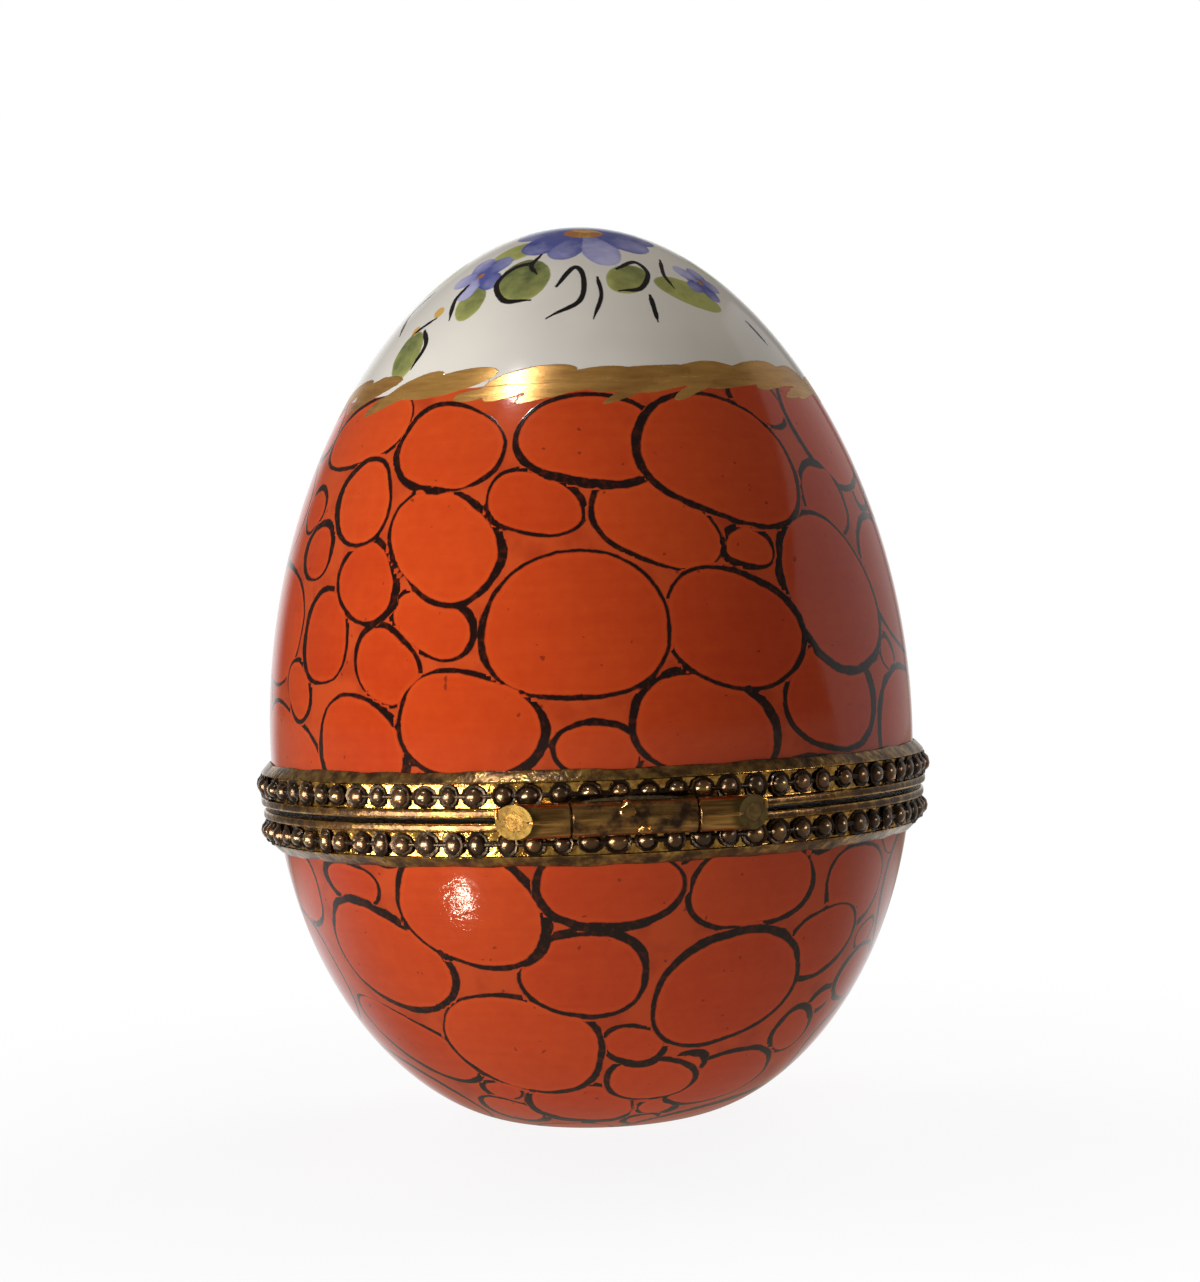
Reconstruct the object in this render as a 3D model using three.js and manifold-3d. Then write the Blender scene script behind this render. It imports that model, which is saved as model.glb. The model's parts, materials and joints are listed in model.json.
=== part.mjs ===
// Hinged porcelain egg box: two hollow shells, each cemented into a beaded brass bezel, joined by a
// three-knuckle hinge and held shut by a sprung clasp.
// Millimetres, +Z up, origin at the centre of the foot, -Y towards the hinge, +Y towards the clasp.
import * as THREE from "three";
import { mergeVertices } from "three/addons/utils/BufferGeometryUtils.js";
import Module from "manifold-3d";

const wasm = await Module();
wasm.setup();

// Egg outline: two curves that meet upright at the belly
const eggHeight = 57;
const bellyRadius = 20.65;
const bellyHeight = 24.6;
const lidHandle = 17; // upright handle of the outline above the belly
const crownHandle = 10.8; // level handle at the crown
const baseHandle = 16.4; // upright handle below the belly
const footHandle = 5.7; // level handle beyond the edge of the foot
const footRadius = 5.6;
const wall = 2.2; // porcelain thickness
const partingHeight = 20.6; // plane where lid and base meet

// Bezels, from the parting plane outwards
const closingGap = 0.3; // between the two closed bezels
const flangeThickness = 0.45; // flat ring over the edge of the porcelain
const flangeLap = 0.2; // how far that ring reaches past the inner wall
const bezelGauge = 0.35; // brass behind the pearls
const lipHeight = 0.5; // plain lip beside the closing gap
const lipReach = 0.25; // how far the lip stands out of the pearl channel
const edgeHeight = 0.75; // plain band that is closed down on the porcelain
const edgeReach = 0.15;
const cornerRound = 0.18; // chamfer on the corners of the brass
const crimpHeight = 0.3; // part of the band that touches the porcelain
const bedding = 0.22; // space for cement between porcelain and brass
const seatGap = 0.05; // between pieces that are cemented or soldered together

// Pearl wire: half-round beaded wire soldered into the channel of each bezel
const pearlPitch = 1.66;
const pearlHeight = 1.5;
const pearlDepth = 0.48;
const neckDepth = 0.2; // wire between two pearls
const neckHeight = 0.6;

// Hinge
const knuckleRadius = 1;
const boreRadius = 0.55;
const pinRadius = 0.45;
const middleKnuckleLength = 7.2;
const outerKnuckleLength = 4.2;
const knuckleGap = 0.1; // between neighbouring knuckles
const knuckleSeat = 0.12; // between a knuckle and the saddle that it is soldered in
const knuckleRelief = 0.45; // between a knuckle and the other bezel, which turns round it
const porcelainClearance = 0.1; // between the barrel and the porcelain
const barrelBevel = Math.PI / 4; // slope of the filed ends of the barrel

// Clasp
const tongueWidth = 5;
const tongueTipWidth = 2.8;
const tongueThickness = 0.5;
const tongueDrop = 2.6; // from the parting plane down to the thumb lip
const thumbReach = 0.8; // how far the thumb lip curls out
const thumbRise = 0.9; // height of that curl
const catchLength = 2.4;
const catchDepth = 0.4;
const catchHeight = 0.9;
const claspClearance = 0.1; // between the tongue and the catch
const bossRadius = 1.1;
const bossHeight = 0.55;

// Facets
const ringSteps = 54;
const outlineFacet = 3.3; // length of a step along the outline
const pearlSteps = 3;
const pearlSides = 4;
const barrelSides = 20;
const arcSteps = 6;

const glaze = new THREE.MeshStandardMaterial({ color: 0xc4481f, roughness: 0.12 });
const brass = new THREE.MeshStandardMaterial({ color: 0x8f6f34, roughness: 0.35, metalness: 1 });
const brightBrass = new THREE.MeshStandardMaterial({ color: 0xb9965a, roughness: 0.3, metalness: 1 });
const cement = new THREE.MeshStandardMaterial({ color: 0xd8d2c4, roughness: 0.9 });

// Levels above (side 1, the lid) or below (side -1, the base) the parting plane
const mate = closingGap / 2;
const pearlStart = mate + lipHeight;
const pearlEnd = pearlStart + pearlHeight;
const bezelTop = pearlEnd + edgeHeight;
const rimRise = mate + flangeThickness + bedding;
const level = (side, rise) => partingHeight + side * rise;

const point = (x, y) => new THREE.Vector2(x, y);
const outline = new THREE.CurvePath();
outline.add(
  new THREE.CubicBezierCurve(
    point(footRadius, 0),
    point(footRadius + footHandle, 0),
    point(bellyRadius, bellyHeight - baseHandle),
    point(bellyRadius, bellyHeight),
  ),
);
outline.add(
  new THREE.CubicBezierCurve(
    point(bellyRadius, bellyHeight),
    point(bellyRadius, bellyHeight + lidHandle),
    point(crownHandle, eggHeight),
    point(0, eggHeight),
  ),
);

// Place on the outline, from 0 at the foot to 1 at the crown, that lies at a height
function outlineAt(height) {
  let low = 0;
  let high = 1;
  while (high - low > 1e-9) {
    const middle = (low + high) / 2;
    if (outline.getPoint(middle).y < height) {
      low = middle;
    } else {
      high = middle;
    }
  }
  return low;
}

// Radius of the porcelain at a level
const skin = (side, rise) => outline.getPoint(outlineAt(level(side, rise))).x;

// Stretch of the outline, moved inwards by an inset
function stretch(from, to, inset) {
  const steps = Math.round(((to - from) * outline.getLength()) / outlineFacet);
  return Array.from({ length: steps + 1 }, (_, i) => {
    const place = THREE.MathUtils.lerp(from, to, i / steps);
    const at = outline.getPoint(place);
    const along = outline.getTangent(place);
    return point(at.x - inset * along.y, at.y + inset * along.x);
  });
}

// Solid of revolution about Z from an outline in radius and height
function revolve(section) {
  const upright = THREE.ShapeUtils.area(section) < 0 ? section.toReversed() : section;
  const closed = section[0].x === 0 ? upright : [...upright, upright[0]];
  return new THREE.LatheGeometry(closed, ringSteps).rotateX(Math.PI / 2);
}

// Sideways extrusion: a shape in Y and Z, as wide as its length along X
function extrudeAcross(shape, length) {
  const turn = new THREE.Matrix4().makeBasis(
    new THREE.Vector3(0, 1, 0),
    new THREE.Vector3(0, 0, 1),
    new THREE.Vector3(1, 0, 0),
  );
  const options = { depth: length, bevelEnabled: false, curveSegments: arcSteps };
  return new THREE.ExtrudeGeometry(shape, options).applyMatrix4(turn).translate(-length / 2, 0, 0);
}

function solidOf(geometry) {
  const bare = geometry.clone();
  bare.deleteAttribute("normal");
  bare.deleteAttribute("uv");
  const merged = mergeVertices(bare);
  return new wasm.Manifold(
    new wasm.Mesh({
      numProp: 3,
      vertProperties: merged.attributes.position.array,
      triVerts: new Uint32Array(merged.index.array),
    }),
  );
}

function geometryOf(solid) {
  const mesh = solid.getMesh();
  const geometry = new THREE.BufferGeometry();
  geometry.setAttribute("position", new THREE.BufferAttribute(mesh.vertProperties, 3));
  geometry.setIndex(new THREE.BufferAttribute(mesh.triVerts, 1));
  geometry.computeVertexNormals();
  return geometry;
}

function cut(geometry, cutters) {
  return geometryOf(cutters.reduce((rest, cutter) => rest.subtract(solidOf(cutter)), solidOf(geometry)));
}

const egg = new THREE.Group();

function add(name, geometry, material) {
  const mesh = new THREE.Mesh(geometry, material);
  mesh.name = name;
  egg.add(mesh);
}

// Porcelain shells

function baseShell() {
  const rim = outlineAt(level(-1, rimRise));
  const outside = stretch(0, rim, 0);
  const inside = stretch(0, rim, wall).toReversed();
  inside[0].y = outside.at(-1).y;
  return revolve([point(0, 0), ...outside, ...inside, point(0, wall)]);
}

function lidShell() {
  const rim = outlineAt(level(1, rimRise));
  const outside = stretch(rim, 1, 0);
  const inside = stretch(rim, 1, wall).toReversed();
  inside.at(-1).y = outside[0].y;
  outside.at(-1).x = 0;
  inside[0].x = 0;
  return revolve([...inside, ...outside]);
}

// Bezels: an L section whose flange lies over the edge of the porcelain

const channel = (side, rise) => skin(side, rise) + bedding + bezelGauge;
const lipRadius = (side) => channel(side, pearlStart) + lipReach;

function bezel(side) {
  const flangeTop = mate + flangeThickness;
  const crimp = bezelTop - crimpHeight;
  const inner = skin(side, rimRise) - wall - flangeLap;
  const lip = lipRadius(side);
  const edge = channel(side, pearlEnd) + edgeReach;
  const section = [
    [inner, mate],
    [lip - cornerRound, mate],
    [lip, mate + cornerRound],
    [lip, pearlStart - cornerRound],
    [channel(side, pearlStart), pearlStart],
    [channel(side, pearlEnd), pearlEnd],
    [edge, pearlEnd + cornerRound],
    [edge, bezelTop - cornerRound],
    [skin(side, bezelTop) + seatGap, bezelTop],
    [skin(side, crimp) + seatGap, crimp],
    [skin(side, crimp) + bedding, crimp],
    [skin(side, flangeTop) + bedding, flangeTop],
    [inner, flangeTop],
  ];
  return revolve(section.map(([r, rise]) => point(r, level(side, rise))));
}

// Cement behind the upright wall of a bezel
function cementBed(side) {
  const start = rimRise + seatGap;
  const end = bezelTop - crimpHeight - seatGap;
  const at = (rise, depth) => point(skin(side, rise) + depth, level(side, rise));
  const depth = bedding - seatGap;
  return revolve([at(start, seatGap), at(start, depth), at(end, depth), at(end, seatGap)]);
}

// Half-round wire with a flat back, whose section swells once for each pearl

const pearlBack = (side) => Math.max(channel(side, pearlStart), channel(side, pearlEnd)) + seatGap;
const pearlFace = (side) => pearlBack(side) + pearlDepth;
const pearlMiddle = (pearlStart + pearlEnd) / 2;

function pearlWire(side) {
  const section = new THREE.EllipseCurve(0, 0, 1, 1, -Math.PI / 2, Math.PI / 2).getPoints(pearlSides);
  const steps = pearlSteps * Math.round((2 * Math.PI * pearlFace(side)) / pearlPitch);
  const corners = [];
  const faces = [];
  for (let i = 0; i < steps; i++) {
    const across = (2 * (i % pearlSteps)) / pearlSteps - 1; // -1 in the neck, 0 on the crown of the pearl
    const swell = Math.sqrt(1 - across * across);
    const depth = THREE.MathUtils.lerp(neckDepth, pearlDepth, swell);
    const halfHeight = THREE.MathUtils.lerp(neckHeight, pearlHeight - 2 * seatGap, swell) / 2;
    const turn = (2 * Math.PI * i) / steps;
    section.forEach((at, j) => {
      const r = pearlBack(side) + depth * at.x;
      const z = partingHeight + side * pearlMiddle + halfHeight * at.y;
      corners.push(r * Math.sin(turn), -r * Math.cos(turn), z);
      const [a, b] = [i, (i + 1) % steps].map((ring) => ring * section.length + j);
      const [c, d] = [i, (i + 1) % steps].map((ring) => ring * section.length + ((j + 1) % section.length));
      faces.push(a, b, d, a, d, c);
    });
  }
  const geometry = new THREE.BufferGeometry();
  geometry.setAttribute("position", new THREE.Float32BufferAttribute(corners, 3));
  geometry.setIndex(faces);
  geometry.computeVertexNormals();
  return geometry;
}

// Hinge barrel: it lies in the parting plane, just clear of the porcelain

const rimRadius = Math.max(skin(1, rimRise), skin(-1, rimRise));
const axisY = -(rimRadius + porcelainClearance + knuckleRadius);
const outerStart = middleKnuckleLength / 2 + knuckleGap;
const barrelEnd = outerStart + outerKnuckleLength;
const cutterHeight = 4 * knuckleRadius; // taller than the barrel

// Lays a piece that was made along Y on the hinge axis, with its middle at x
const onHinge = (geometry, x) => geometry.rotateZ(Math.PI / 2).translate(x, axisY, partingHeight);

const rod = (radius, length, x) =>
  onHinge(new THREE.CylinderGeometry(radius, radius, length, barrelSides), x);

const tube = (length, x) => cut(rod(knuckleRadius, length, x), [rod(boreRadius, length + knuckleGap, x)]);

// Room for the barrel in a bezel: a saddle for its own knuckles, and relief round the others
function barrelRoom(side) {
  const saddle = rod(knuckleRadius + knuckleSeat, 2 * barrelEnd, 0);
  const reliefRadius = knuckleRadius + knuckleRelief;
  if (side > 0) {
    return [saddle, rod(reliefRadius, middleKnuckleLength + knuckleGap, 0)];
  }
  const length = barrelEnd - outerStart + knuckleGap;
  return [saddle, ...[-1, 1].map((end) => rod(reliefRadius, length, (end * (outerStart + barrelEnd)) / 2))];
}

// Plan of the barrel and its leaves, with the ends filed back towards the front
function barrelPlan() {
  const front = axisY - knuckleRadius;
  const back = axisY + knuckleRadius;
  const filed = barrelEnd - (back - front) / Math.tan(barrelBevel);
  const plan = new THREE.Shape([
    point(filed, front),
    point(barrelEnd, back),
    point(barrelEnd, 0),
    point(-barrelEnd, 0),
    point(-barrelEnd, back),
    point(-filed, front),
  ]);
  const prism = new THREE.ExtrudeGeometry(plan, { depth: cutterHeight, bevelEnabled: false });
  return prism.translate(0, 0, partingHeight - cutterHeight / 2);
}

// Outer knuckle: a tube and the leaf that fills the wedge between it and the round bezel
function outerKnuckle(end) {
  const x = (end * (outerStart + barrelEnd)) / 2;
  const start = axisY + (boreRadius + knuckleRadius) / 2;
  const leaf = new THREE.BoxGeometry(outerKnuckleLength, -start, lipHeight);
  leaf.translate(x, start / 2, level(1, mate + lipHeight / 2));
  const ring = lipRadius(1) + seatGap;
  const disc = new THREE.CylinderGeometry(ring, ring, cutterHeight, ringSteps);
  disc.rotateX(Math.PI / 2).translate(0, 0, partingHeight);
  const wedge = solidOf(cut(leaf, [disc]));
  return geometryOf(solidOf(tube(outerKnuckleLength, x)).add(wedge).intersect(solidOf(barrelPlan())));
}

function hingePin() {
  return geometryOf(solidOf(rod(pinRadius, 2 * barrelEnd, 0)).intersect(solidOf(barrelPlan())));
}

// Clasp: a tongue on the lid that springs over a catch on the base

const tongueBack = Math.max(pearlFace(1), pearlFace(-1) + catchDepth + claspClearance) + seatGap;
const tongueFront = tongueBack + tongueThickness;
const thumbTop = partingHeight - tongueDrop;

function claspTongue() {
  const lipFront = tongueFront + thumbReach;
  const thumbBottom = thumbTop - tongueThickness;
  const side = new THREE.Shape();
  side.moveTo(pearlFace(1) + seatGap, level(1, pearlStart));
  side.lineTo(tongueBack, level(1, pearlStart) - (tongueBack - pearlFace(1) - seatGap));
  side.lineTo(tongueBack, thumbTop + thumbRise);
  side.quadraticCurveTo(tongueBack, thumbBottom, lipFront, thumbBottom);
  side.lineTo(lipFront, thumbTop);
  side.quadraticCurveTo(tongueFront, thumbTop, tongueFront, thumbTop + thumbRise);
  side.lineTo(tongueFront, level(1, pearlEnd) - cornerRound);
  side.lineTo(tongueFront - cornerRound, level(1, pearlEnd));
  side.lineTo(pearlFace(1) + seatGap, level(1, pearlEnd));
  const front = new THREE.Shape();
  front.moveTo(-tongueWidth / 2, level(1, pearlEnd));
  front.lineTo(-tongueTipWidth / 2, thumbTop + tongueTipWidth / 2);
  front.absarc(0, thumbTop + tongueTipWidth / 2 - tongueThickness, tongueTipWidth / 2, Math.PI, 2 * Math.PI);
  front.lineTo(tongueWidth / 2, level(1, pearlEnd));
  const face = new THREE.ExtrudeGeometry(front, {
    depth: 2 * lipFront,
    bevelEnabled: false,
    curveSegments: arcSteps,
  });
  face.rotateX(Math.PI / 2).translate(0, 2 * lipFront, 0);
  return geometryOf(solidOf(extrudeAcross(side, tongueWidth)).intersect(solidOf(face)));
}

function claspCatch() {
  const shape = new THREE.Shape();
  const middle = level(-1, pearlMiddle);
  shape.absellipse(pearlFace(-1) + seatGap, middle, catchDepth, catchHeight / 2, -Math.PI / 2, Math.PI / 2);
  return extrudeAcross(shape, catchLength);
}

function claspBoss() {
  const dome = new THREE.EllipseCurve(0, 0, bossRadius, bossHeight, 0, Math.PI / 2).getPoints(arcSteps);
  dome.at(-1).x = 0;
  const button = new THREE.LatheGeometry([point(0, 0), ...dome], barrelSides);
  return button.translate(0, tongueFront + seatGap, partingHeight);
}

add("base_shell", baseShell(), glaze);
add("base_cement", cementBed(-1), cement);
add("base_bezel", cut(bezel(-1), barrelRoom(-1)), brass);
add("base_pearl_wire", cut(pearlWire(-1), barrelRoom(-1)), brass);
add("base_knuckle", tube(middleKnuckleLength, 0), brightBrass);
add("clasp_catch", claspCatch(), brightBrass);

add("lid_shell", lidShell(), glaze);
add("lid_cement", cementBed(1), cement);
add("lid_bezel", cut(bezel(1), barrelRoom(1)), brass);
add("lid_pearl_wire", cut(pearlWire(1), barrelRoom(1)), brass);
add("lid_knuckle_left", outerKnuckle(-1), brightBrass);
add("lid_knuckle_right", outerKnuckle(1), brightBrass);
add("hinge_pin", hingePin(), brightBrass);
add("clasp_tongue", claspTongue(), brass);
add("clasp_boss", claspBoss(), brightBrass);

export default egg;
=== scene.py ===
import json
import math

import bmesh
import bpy
import numpy as np
from mathutils import Matrix, Vector
from mathutils.geometry import interpolate_bezier


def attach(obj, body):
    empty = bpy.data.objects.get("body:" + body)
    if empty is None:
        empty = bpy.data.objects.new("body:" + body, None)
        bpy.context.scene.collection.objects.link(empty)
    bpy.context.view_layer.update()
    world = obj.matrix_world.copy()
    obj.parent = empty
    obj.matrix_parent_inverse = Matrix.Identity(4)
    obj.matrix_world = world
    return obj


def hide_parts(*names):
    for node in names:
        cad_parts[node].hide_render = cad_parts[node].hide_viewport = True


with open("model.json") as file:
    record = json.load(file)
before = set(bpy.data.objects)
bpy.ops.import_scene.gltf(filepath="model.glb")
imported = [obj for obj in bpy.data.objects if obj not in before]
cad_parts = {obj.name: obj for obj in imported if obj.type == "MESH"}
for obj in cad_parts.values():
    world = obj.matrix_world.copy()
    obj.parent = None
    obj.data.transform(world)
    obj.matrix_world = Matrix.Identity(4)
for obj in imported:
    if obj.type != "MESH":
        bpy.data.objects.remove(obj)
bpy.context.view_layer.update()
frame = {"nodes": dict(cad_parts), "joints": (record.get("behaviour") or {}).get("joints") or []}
scene = bpy.context.scene
scene.view_settings.view_transform = "Standard"
mm = 0.001  # pieces are modelled in millimetres and scaled down when they are finished
fullTurn = 2 * math.pi
print("frame loaded:", ", ".join(sorted(frame["nodes"])))


def tint(red, green, blue):  # a colour as a paint program shows it
    linear = [((c / 255 + 0.055) / 1.055) ** 2.4 if c > 10 else c / 255 / 12.92 for c in (red, green, blue)]
    return (*linear, 1.0)


class Wire:  # one output of a node; sums written on it add Math nodes
    def __init__(self, finish, socket):
        self.finish, self.socket = finish, socket

    def math(self, operation, first, second=0.0):
        return self.finish.node("ShaderNodeMath", {"operation": operation}, {0: first, 1: second})

    def __add__(self, other):
        return self.math("ADD", self, other)

    def __radd__(self, other):
        return self.math("ADD", other, self)

    def __sub__(self, other):
        return self.math("SUBTRACT", self, other)

    def __rsub__(self, other):
        return self.math("SUBTRACT", other, self)

    def __mul__(self, other):
        return self.math("MULTIPLY", self, other)

    def __rmul__(self, other):
        return self.math("MULTIPLY", other, self)

    def __abs__(self):
        return self.math("ABSOLUTE", self)

    def most(self, other):
        return self.math("MAXIMUM", self, other)

    def least(self, other):
        return self.math("MINIMUM", self, other)


class Finish:  # a material, or the world, and the nodes in it
    def __init__(self, owner):
        self.owner = owner
        owner.use_nodes = True
        self.tree = owner.node_tree
        self.tree.nodes.clear()

    def node(self, kind, settings=None, inputs=None, output=0):
        made = self.tree.nodes.new(kind)
        for name, value in (settings or {}).items():
            setattr(made, name, value)
        for name, value in (inputs or {}).items():
            if isinstance(value, Wire):
                self.tree.links.new(value.socket, made.inputs[name])
            else:
                made.inputs[name].default_value = value
        return Wire(self, made.outputs[output]) if made.outputs else made

    def read(self, name):  # a number painted on the mesh
        return self.node("ShaderNodeAttribute", {"attribute_name": name}, output=2)

    def place(self, scale=(1, 1, 1)):  # object coordinates in millimetres, stretched
        spot = self.node("ShaderNodeTexCoord", output=3)
        return self.node("ShaderNodeMapping", {}, {"Vector": spot, "Scale": [s / mm for s in scale]})

    def height(self):
        return self.node("ShaderNodeSeparateXYZ", {}, {0: self.place()}, output=2)

    def noise(self, scale, detail=2.0, roughness=0.5):  # scale is waves per millimetre, one number or three
        stretch = scale if isinstance(scale, tuple) else (scale,) * 3
        inputs = {"Vector": self.place(stretch), "Scale": 1.0, "Detail": detail, "Roughness": roughness}
        return self.node("ShaderNodeTexNoise", {}, inputs)

    def step(self, value, low, high):  # 0 below low, 1 above high, smooth between
        inputs = {"Value": value, "From Min": low, "From Max": high}
        return self.node("ShaderNodeMapRange", {"interpolation_type": "SMOOTHSTEP"}, inputs)

    def blend(self, first, second, share):  # two colours
        return self.node("ShaderNodeMix", {"data_type": "RGBA"}, {0: share, 6: first, 7: second}, output=2)

    def bump(self, height, depth):
        return self.node("ShaderNodeBump", {}, {"Height": height, "Distance": depth * mm, "Strength": 1.0})

    def show(self, shader, kind="Material"):
        self.node("ShaderNodeOutput" + kind, {}, {"Surface": shader})
        return self.owner

    def surface(self, inputs):
        return self.show(self.node("ShaderNodeBsdfPrincipled", {}, inputs))

    def rays(self):  # whether a ray comes straight from the camera, and whether by way of a mirror or a glass
        path = self.node("ShaderNodeLightPath").socket.node.outputs
        kinds = ("Camera", "Glossy", "Transmission")
        camera, glossy, through = (Wire(self, path[f"Is {kind} Ray"]) for kind in kinds)
        return camera, glossy.most(through)


def newFinish(name):
    return Finish(bpy.data.materials.new(name))


# The egg's outline, from the edge of its flat foot to the crown

egg = {
    "height": 57.0,
    "bellyRadius": 20.65,
    "bellyHeight": 24.6,
    "lidHandle": 17.0,
    "crownHandle": 10.8,
    "baseHandle": 16.4,
    "footHandle": 5.7,
    "footRadius": 5.6,
    "wall": 2.2,
    "parting": 20.6,
    "samples": 900,
}
parting = egg["parting"]


def curve(points, count):
    return interpolate_bezier(*[Vector((x, 0, y)) for x, y in points], count)


def eggOutline():
    radius, height = egg["bellyRadius"], egg["bellyHeight"]
    low = [(egg["footRadius"], 0), (egg["footRadius"] + egg["footHandle"], 0)]
    low += [(radius, height - egg["baseHandle"]), (radius, height)]
    high = [(radius, height), (radius, height + egg["lidHandle"])]
    high += [(egg["crownHandle"], egg["height"]), (0, egg["height"])]
    line = curve(low, egg["samples"]) + curve(high, egg["samples"])[1:]
    return np.array([[p.x, p.z] for p in line])


outline = eggOutline()
outlineRun = np.concatenate([[0], np.cumsum(np.hypot(*np.diff(outline, axis=0).T))])
outlineSlope = np.gradient(outline, outlineRun, axis=0)  # radius and height gained per millimetre


def radiusAt(height):
    return np.interp(height, outline[:, 1], outline[:, 0])


def runAt(height):
    return np.interp(height, outline[:, 1], outlineRun)


def slopeAt(run):
    return [np.interp(run, outlineRun, outlineSlope[:, i]) for i in (0, 1)]


def fromCrown(height):  # distance along the glaze
    return outlineRun[-1] - runAt(height)


def stretchOf(low, high, count, inset=0.0):  # part of the outline, moved inwards
    runs = np.linspace(runAt(low), runAt(high), count)
    radius, height = (np.interp(runs, outlineRun, outline[:, i]) for i in (0, 1))
    gain, rise = slopeAt(runs)
    return np.column_stack([radius - inset * rise, height + inset * gain])


def onGlaze(turn, height):  # centre and the directions across, up and out at a place on the egg
    angle, radius = math.radians(turn), radiusAt(height)
    gain, rise = slopeAt(runAt(height))
    across = np.array([math.cos(angle), math.sin(angle), 0])
    up = np.array([gain * math.sin(angle), -gain * math.cos(angle), rise])
    centre = np.array([radius * math.sin(angle), -radius * math.cos(angle), height])
    return centre, across, up, np.cross(across, up)


# Shared steps of the modelling

pieces = {}


def pointsIn(geometry):
    return [g for g in geometry if isinstance(g, bmesh.types.BMVert)]


def everything(bm):
    return bm.verts[:] + bm.edges[:] + bm.faces[:]


def threaded(places, closed=False):  # a line through the places
    bm = bmesh.new()
    points = [bm.verts.new(place) for place in places]
    for first, second in zip(points, points[1:]):
        bm.edges.new((first, second))
    if closed:
        bm.edges.new((points[-1], points[0]))
    return bm


def spin(bm, axis, angle, steps, merge):
    spun = {"cent": (0, 0, 0), "dvec": (0, 0, 0), "axis": axis, "angle": angle, "steps": steps, "use_merge": merge}
    bmesh.ops.spin(bm, geom=bm.verts[:] + bm.edges[:], **spun)


def turnAll(bm, angle, axis, points=None):  # about the origin
    bmesh.ops.rotate(bm, verts=points or bm.verts, cent=(0, 0, 0), matrix=Matrix.Rotation(angle, 3, axis))


def shiftAll(bm, *way):
    bmesh.ops.translate(bm, verts=bm.verts, vec=way)


def pushOut(bm, faces, way):  # extrudes faces and moves the new ones
    grown = bmesh.ops.extrude_face_region(bm, geom=faces)
    bmesh.ops.translate(bm, verts=pointsIn(grown["geom"]), vec=way)


def cutAway(bm, place, normal):  # removes what lies past a plane and gives the edges of the cut
    plane = {"plane_co": place, "plane_no": normal, "clear_outer": True}
    cut = bmesh.ops.bisect_plane(bm, geom=everything(bm), dist=1e-5, **plane)
    return [g for g in cut["geom_cut"] if isinstance(g, bmesh.types.BMEdge)]


def arc(start, handle, end, count):  # points of a curve that the handle pulls
    start, handle, end = Vector(start), Vector(handle), Vector(end)
    shares = [step / count for step in range(count + 1)]
    return [tuple(start * (1 - t) ** 2 + handle * 2 * t * (1 - t) + end * t**2) for t in shares]


def lathe(section, steps, closed):  # turns an outline of radius and height about Z
    bm = threaded([(0, radius, height) for radius, height in section], closed)
    sector = fullTurn / 8  # an eighth is spun and then doubled three times, which is much quicker
    spin(bm, (0, 0, 1), sector, steps // 8, False)
    for doubling in range(3):
        copied = bmesh.ops.duplicate(bm, geom=everything(bm))["geom"]
        turnAll(bm, sector * 2**doubling, "Z", pointsIn(copied))
    return settle(bm)


def settle(bm):
    bmesh.ops.remove_doubles(bm, verts=bm.verts, dist=1e-4)
    bmesh.ops.recalc_face_normals(bm, faces=bm.faces)
    return bm


def meshFrom(bm, name):
    mesh = bpy.data.meshes.new(name)
    bm.to_mesh(mesh)
    bm.free()
    return mesh


def looseObject(bm, name):  # a working object, still in millimetres
    made = bpy.data.objects.new(name, meshFrom(bm, name))
    scene.collection.objects.link(made)
    return made


def carve(bm, cutters, operation="DIFFERENCE"):
    block = looseObject(bm, "block")
    tools = [looseObject(cutter, "cutter") for cutter in cutters]
    for tool in tools:
        modifier = block.modifiers.new("carve", "BOOLEAN")
        modifier.operation, modifier.object, modifier.solver = operation, tool, "EXACT"
    ready = block.evaluated_get(bpy.context.evaluated_depsgraph_get())
    carved = bmesh.new()
    carved.from_mesh(ready.to_mesh())
    for made in [block, *tools]:
        bpy.data.objects.remove(made)
    return settle(carved)


def spotsOf(piece):  # the mesh's points, in millimetres
    flat = np.empty(len(piece.data.vertices) * 3)
    piece.data.vertices.foreach_get("co", flat)
    return flat.reshape(-1, 3) / mm


farOff = 9.0  # painted as the distance where a line or an edge isn't near


def paintOn(piece, name, values):
    layer = piece.data.attributes.new(name, "FLOAT", "POINT")
    layer.data.foreach_set("value", np.ascontiguousarray(values, dtype=np.float32))


def finishPiece(bm, name, body, nodes, finishes, sharp=35):
    bmesh.ops.scale(bm, vec=(mm, mm, mm), verts=bm.verts)
    piece = looseObject(bm, name)
    piece.data.polygons.foreach_set("use_smooth", [True] * len(piece.data.polygons))
    piece.data.set_sharp_from_angle(angle=math.radians(sharp))
    for finish in finishes:
        piece.data.materials.append(finish)
    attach(piece, body)
    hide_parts(*nodes)
    pieces[name] = piece
    print(name, "has", sum(len(p.vertices) - 2 for p in piece.data.polygons), "triangles")
    return piece


# Painted pebbles: each is a rounded cell in the plane that touches the egg at its centre

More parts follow.
